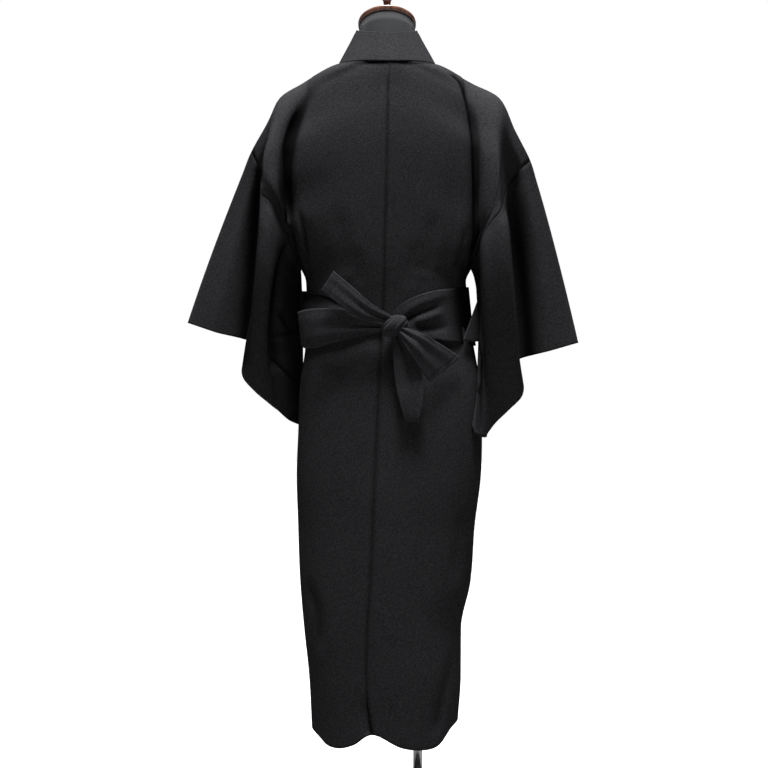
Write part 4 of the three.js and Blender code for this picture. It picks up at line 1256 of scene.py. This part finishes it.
end_upper = ribbon("bow_end_up", BOW_END_UPPER, "bow_end_upper", 1,
                   [(0.25, 2.4, 0.1), (0.5, -2.0, 0.09), (0.75, 2.0, 0.1)], hems=(20,))
end_lower = ribbon("bow_end_down", BOW_END_LOWER, "bow_end_lower", 3,
                   [(0.2, 2.4, 0.08), (0.42, -2.4, 0.08), (0.66, 2.4, 0.09)], hems=(6,))
loop = ribbon("bow_loop_side", BOW_LOOP, "bow_loop", 3,
              [(0.25, 2.6, 0.08), (0.5, -2.8, 0.08), (0.72, 2.6, 0.08)])
loop_hanging = ribbon("bow_loop_down", BOW_LOOP_HANGING, "bow_loop_hanging", 0,
                      [(0.3, 2.2, 0.1), (0.55, -2.6, 0.08), (0.78, 2.0, 0.09)])
print("ribbons", [len(o.data.vertices) for o in (end_upper, end_lower, loop, loop_hanging)])

# %% [markdown]
# ## The knot
# The knot is the belt wrapped once round its own pleats. It is modelled as bands that
# cross on the slant, each with a few soft ribs where the cloth is gathered.

# %% Knot
KNOT_AT, KNOT_HALF = np.array([-13, 127.5, 976]), np.array([27, 16.6, 21])


def knot_point(level, angle, grow=0.0):
    """A point of the knot's rounded body; level runs from -1 below to 1 above."""
    radius = math.sqrt(max(1 - level * level, 0.0))
    wide, deep, tall = KNOT_HALF + grow
    return KNOT_AT + np.array([wide * radius * math.cos(angle), deep * radius * math.sin(angle),
                               tall * level - 6 * radius * math.cos(angle)])


def make_knot():
    rows = []
    for level in np.sin(np.linspace(-math.pi / 2, math.pi / 2, 45)):
        row = []
        for angle in np.linspace(0, 2 * math.pi, 72, endpoint=False):
            slant = math.cos(angle) * 0.75 + level * 0.66
            wraps = 1.4 * abs(math.sin(slant * 5.2)) ** 0.7 + 0.5 * math.sin(slant * 17 + 1)
            row.append(knot_point(level, angle, wraps - 1.8))
        rows.append(row)
    return build_sheet("bow_knot", np.array(rows), closed=True)


knot = finish_piece(make_knot(), BELT_CLOTH, "belt_knot", None)
print("knot points", len(knot.data.vertices))

# %% [markdown]
# ## The dress form
# The garment hangs on a padded torso with a jersey cover, without arms or head. It is
# turned from a profile of half widths, and ends in a sloped neck with a wooden cap.

# %% Torso form
FORM = table(["z", "half", "back", "front"], [
    [742, 146, 94, 96], [760, 152, 100, 102], [870, 152, 98, 104], [940, 142, 90, 98],
    [1000, 130, 86, 94], [1094, 142, 92, 102], [1200, 158, 98, 106], [1300, 168, 98, 104],
    [1365, 172, 90, 94], [1405, 170, 78, 78], [1425, 160, 70, 68], [1445, 143, 64, 60],
    [1462, 108, 58, 54], [1476, 82, 56, 52], [1492, 66, 55, 53], [1508, 57, 55, 55],
    [1525, 55, 55, 55],
])
NECK_RADIUS, NECK_TOP, NECK_SLOPE, CAP_THICKNESS = 55, 1566, 0.37, 12
FORM_BOTTOM, NECK_START = 742, 1525
ROUND = 96


def form_ring(z, half, back, front, slope=0.0, rise=0.0):
    power = 1 + (2 / SQUARENESS - 1) * float(ease(1510 - z, 0, 25))
    angle = np.linspace(0, 2 * math.pi, ROUND, endpoint=False)
    c, s = np.cos(angle), np.sin(angle)
    x = half * np.sign(c) * np.abs(c) ** power
    y = np.where(s > 0, back, front) * np.sign(s) * np.abs(s) ** power
    return np.stack([x, y, z + rise + slope * y], axis=1)


def capped(rings, ends=(True, True)):
    """Rings closed to a point at their middles."""
    grid = [np.array(ring) for ring in rings]
    if ends[0]:
        middle = grid[0].mean(axis=0)
        grid = [middle + (grid[0] - middle) * part for part in (0.001, 0.5, 0.97)] + grid
    if ends[1]:
        middle = grid[-1].mean(axis=0)
        grid = grid + [middle + (grid[-1] - middle) * part for part in (0.97, 0.5, 0.001)]
    return np.array(grid)


def make_torso():
    heights = np.array([row["z"] for row in FORM], float)
    fine = np.concatenate([np.arange(FORM_BOTTOM, NECK_START - 5, 9.0), [NECK_START]])
    sizes = {name: curve_through(heights, [row[name] for row in FORM], fine)
             for name in ("half", "back", "front")}
    rings = [form_ring(z, sizes["half"][i], sizes["back"][i], sizes["front"][i])
             for i, z in enumerate(fine)]
    rings += [form_ring(NECK_START + (NECK_TOP - NECK_START) * t, *[NECK_RADIUS] * 3, NECK_SLOPE * t)
              for t in (0.35, 0.7, 1)]
    return build_sheet("torso", capped(rings), closed=True)


torso = make_torso()
print("torso points", len(torso.data.vertices))


# %% Cap, finial, pole and base
def make_cap():
    rings = [(NECK_RADIUS - 0.5, 0.35), (NECK_RADIUS + 1.1, 1.2), (NECK_RADIUS + 1.5, 3),
             (NECK_RADIUS + 1.5, CAP_THICKNESS - 5), (NECK_RADIUS + 0.9, CAP_THICKNESS - 3),
             (NECK_RADIUS - 1, CAP_THICKNESS - 1.6), (NECK_RADIUS - 5, CAP_THICKNESS - 0.4),
             (NECK_RADIUS - 16, CAP_THICKNESS + 2)]
    grid = [form_ring(NECK_TOP, r, r, r, NECK_SLOPE, rise) for r, rise in rings]
    grid.append(form_ring(NECK_TOP + 20, 13, 13, 13))
    return build_sheet("neck_cap_wood", capped(grid), closed=True)


def turned(name, profile, x, z=0.0):
    """A piece turned on a lathe, from (radius, height) pairs."""
    angle = np.linspace(0, 2 * math.pi, ROUND, endpoint=False)
    rings = [np.stack([x + max(r, 0.01) * np.cos(angle), max(r, 0.01) * np.sin(angle),
                       np.full(ROUND, z + h)], 1)
             for r, h in profile]
    return build_sheet(name, np.array(rings), closed=True)


def rounded(profile, step=1.5):
    """A profile with more points on a smooth curve through it."""
    profile = np.array(profile, float)
    at = np.concatenate([[0], np.cumsum(np.hypot(*np.diff(profile, axis=0).T))])
    return curve_through(at, profile, np.linspace(0, at[-1], int(at[-1] / step) + 2))


cap = make_cap()
finial = turned("cap_finial_wood", [(0, 0), (11.6, 0), (12, 0.4), (12, 2.6), (11.6, 3)]
                + rounded([(11, 3.4), (8, 6), (7.5, 30), (9, 33), (13, 38), (15, 46), (13, 54),
                           (7, 59), (0.01, 60)]).tolist(), 0, NECK_TOP + 20.3)
POLE_X = -60
pole = turned("stand_pole_metal", [(0, 38.3), (8.6, 38.3), (9, 38.8), (9, 400), (9, 741.2),
                                   (8.6, 741.7), (0, 741.7)], POLE_X)
base = turned("stand_base_metal",
              [(0, 0), (179.2, 0), (180, 0.8), (180, 4.6), (179.4, 6), (178, 7.2), (176, 8)]
              + rounded([(30, 11), (22, 14), (17.5, 22), (16, 37.4)]).tolist()
              + [(15.6, 38), (0, 38)], POLE_X)
print("stand points", len(base.data.vertices))

# %% [markdown]
# ## Finishes of the form and the stand
# The jersey is a grey knit: rows of small loops, lighter than the black cloth. The cap is
# varnished wood, and the stand is polished metal with the fine marks that wiping leaves.


# %% Form and stand materials
WALE, COURSE = 0.0014, 0.0011      # metres from loop to loop, across and along


def make_jersey():
    look, tree, shader = simple_look("grey_jersey")
    place = node(tree, "ShaderNodeTexCoord")
    parts = node(tree, "ShaderNodeSeparateXYZ")
    put(tree, parts.inputs[0], place.outputs["UV"])
    turns = [times(tree, parts.outputs[k], math.pi / size) for k, size in enumerate((WALE, COURSE))]
    wale, course = (math_node(tree, "ABSOLUTE", math_node(tree, "SINE", turn)) for turn in turns)
    knit = times(tree, wale, course)
    dye = node(tree, "ShaderNodeGroup", node_tree=DYE)
    put(tree, dye.inputs["Place"], place.outputs["Object"])
    tone = plus(tree, times(tree, knit, 0.5), times(tree, dye.outputs["Patch"], 0.5))
    put(tree, shader.inputs["Base Color"],
        ramp(tree, tone, [(0.1, (0.045, 0.047, 0.051)), (0.9, (0.084, 0.087, 0.094))]))
    spread_roughness(tree, knit, 0.85, 1.0, shader)
    add_bump(tree, knit, 0.25, shader)
    put(tree, shader.inputs["Sheen Weight"], 0.15)
    return look


def make_wood():
    look, tree, shader = simple_look("varnished_wood", coat=1.0)
    place = node(tree, "ShaderNodeTexCoord")
    stretch = node(tree, "ShaderNodeMapping")
    put(tree, stretch.inputs["Scale"], (14, 14, 3))
    put(tree, stretch.inputs[0], place.outputs["Object"])
    grain = noise(tree, stretch.outputs[0], 9.0, 8.0)
    put(tree, grain.inputs["Distortion"], 0.6)
    put(tree, shader.inputs["Base Color"],
        ramp(tree, grain.outputs[0], [(0.3, (0.11, 0.046, 0.030)), (0.7, (0.34, 0.160, 0.110))]))
    spread_roughness(tree, grain.outputs[0], 0.16, 0.34, shader)
    add_bump(tree, grain.outputs[0], 0.15, shader, 0.5)
    put(tree, shader.inputs["Coat Roughness"], 0.06)
    return look


def make_metal():
    look, tree, shader = simple_look("polished_steel", metallic=1.0)
    place = node(tree, "ShaderNodeTexCoord")
    wipes = noise(tree, place.outputs["Object"], 38.0, 6.0).outputs[0]
    put(tree, shader.inputs["Base Color"],
        ramp(tree, wipes, [(0.2, (0.56, 0.56, 0.57)), (0.8, (0.74, 0.74, 0.75))]))
    spread_roughness(tree, wipes, 0.07, 0.2, shader)
    add_bump(tree, wipes, 0.05, shader, 0.3)
    return look


JERSEY, WOOD, METAL = make_jersey(), make_wood(), make_metal()
for piece, look, slot_name, node_name in (
        (torso, JERSEY, "jersey", "torso_form"), (cap, WOOD, "cap", "neck_cap"),
        (finial, WOOD, "cap", "cap_finial"), (pole, METAL, "stand", "stand_pole"),
        (base, METAL, "stand", "stand_base")):
    finish_piece(piece, look, node_name, None)
print("form finished")

# %% [markdown]
# ## What each piece of cloth was cut from
# A sheet can't grow when it is draped, so its area is set beside its flat cut below. All
# but the collar's and the waist belt's were made smaller after the usual cuts had failed
# that comparison, so passing it proves nothing about them. A real body panel is a
# straight length of 0.98 square metres; this model has about 0.6, because its skirt and
# overlap panels are narrower than real ones.


# %% Flat cuts
def cloth_area(piece):
    return sum(polygon.area for polygon in piece.data.polygons)


# a number without a source, chosen to pass
BODY_CUT_AREA = 0.76         # square metres; a number without a source, chosen to be larger than the draped panel
CUTS = [
    (body_left, (0.36, 2.72), BODY_CUT_AREA, "hung", [torso]),
    (body_right, (0.36, 2.72), BODY_CUT_AREA, "hung", [torso], [corner]),
    (sleeve_left, (0.80, 0.35), None, "hung", [body_left]),
    (sleeve_right, (0.82, 0.35), None, "hung", [body_right]),
    (overlap_left, (0.135, 1.06), None, "hung", [body_left]),
    (overlap_right, (0.135, 1.06), None, "hung", [body_right]),
    (collar, (0.062, 1.98), None, "folded", [body_left, body_right]),
    (belt_band, (0.095, 1.02), None, "gathered", [body_left, body_right]),
    (end_upper, (0.040, 0.15), None, "gathered", [knot]),
    (end_lower, (0.070, 0.12), None, "gathered", [knot]),
    (loop, (0.068, 0.34), None, "gathered", [knot]),
    (loop_hanging, (0.048, 0.34), None, "gathered", [knot]),
]
for piece, flat, cut, held, under, *extra in CUTS:
    share = cloth_area(piece) / (cut or flat[0] * flat[1])
    print(piece.name, "flat", flat, "modelled over flat", round(share, 2))

# %% [markdown]

# %% End
print("scene built")
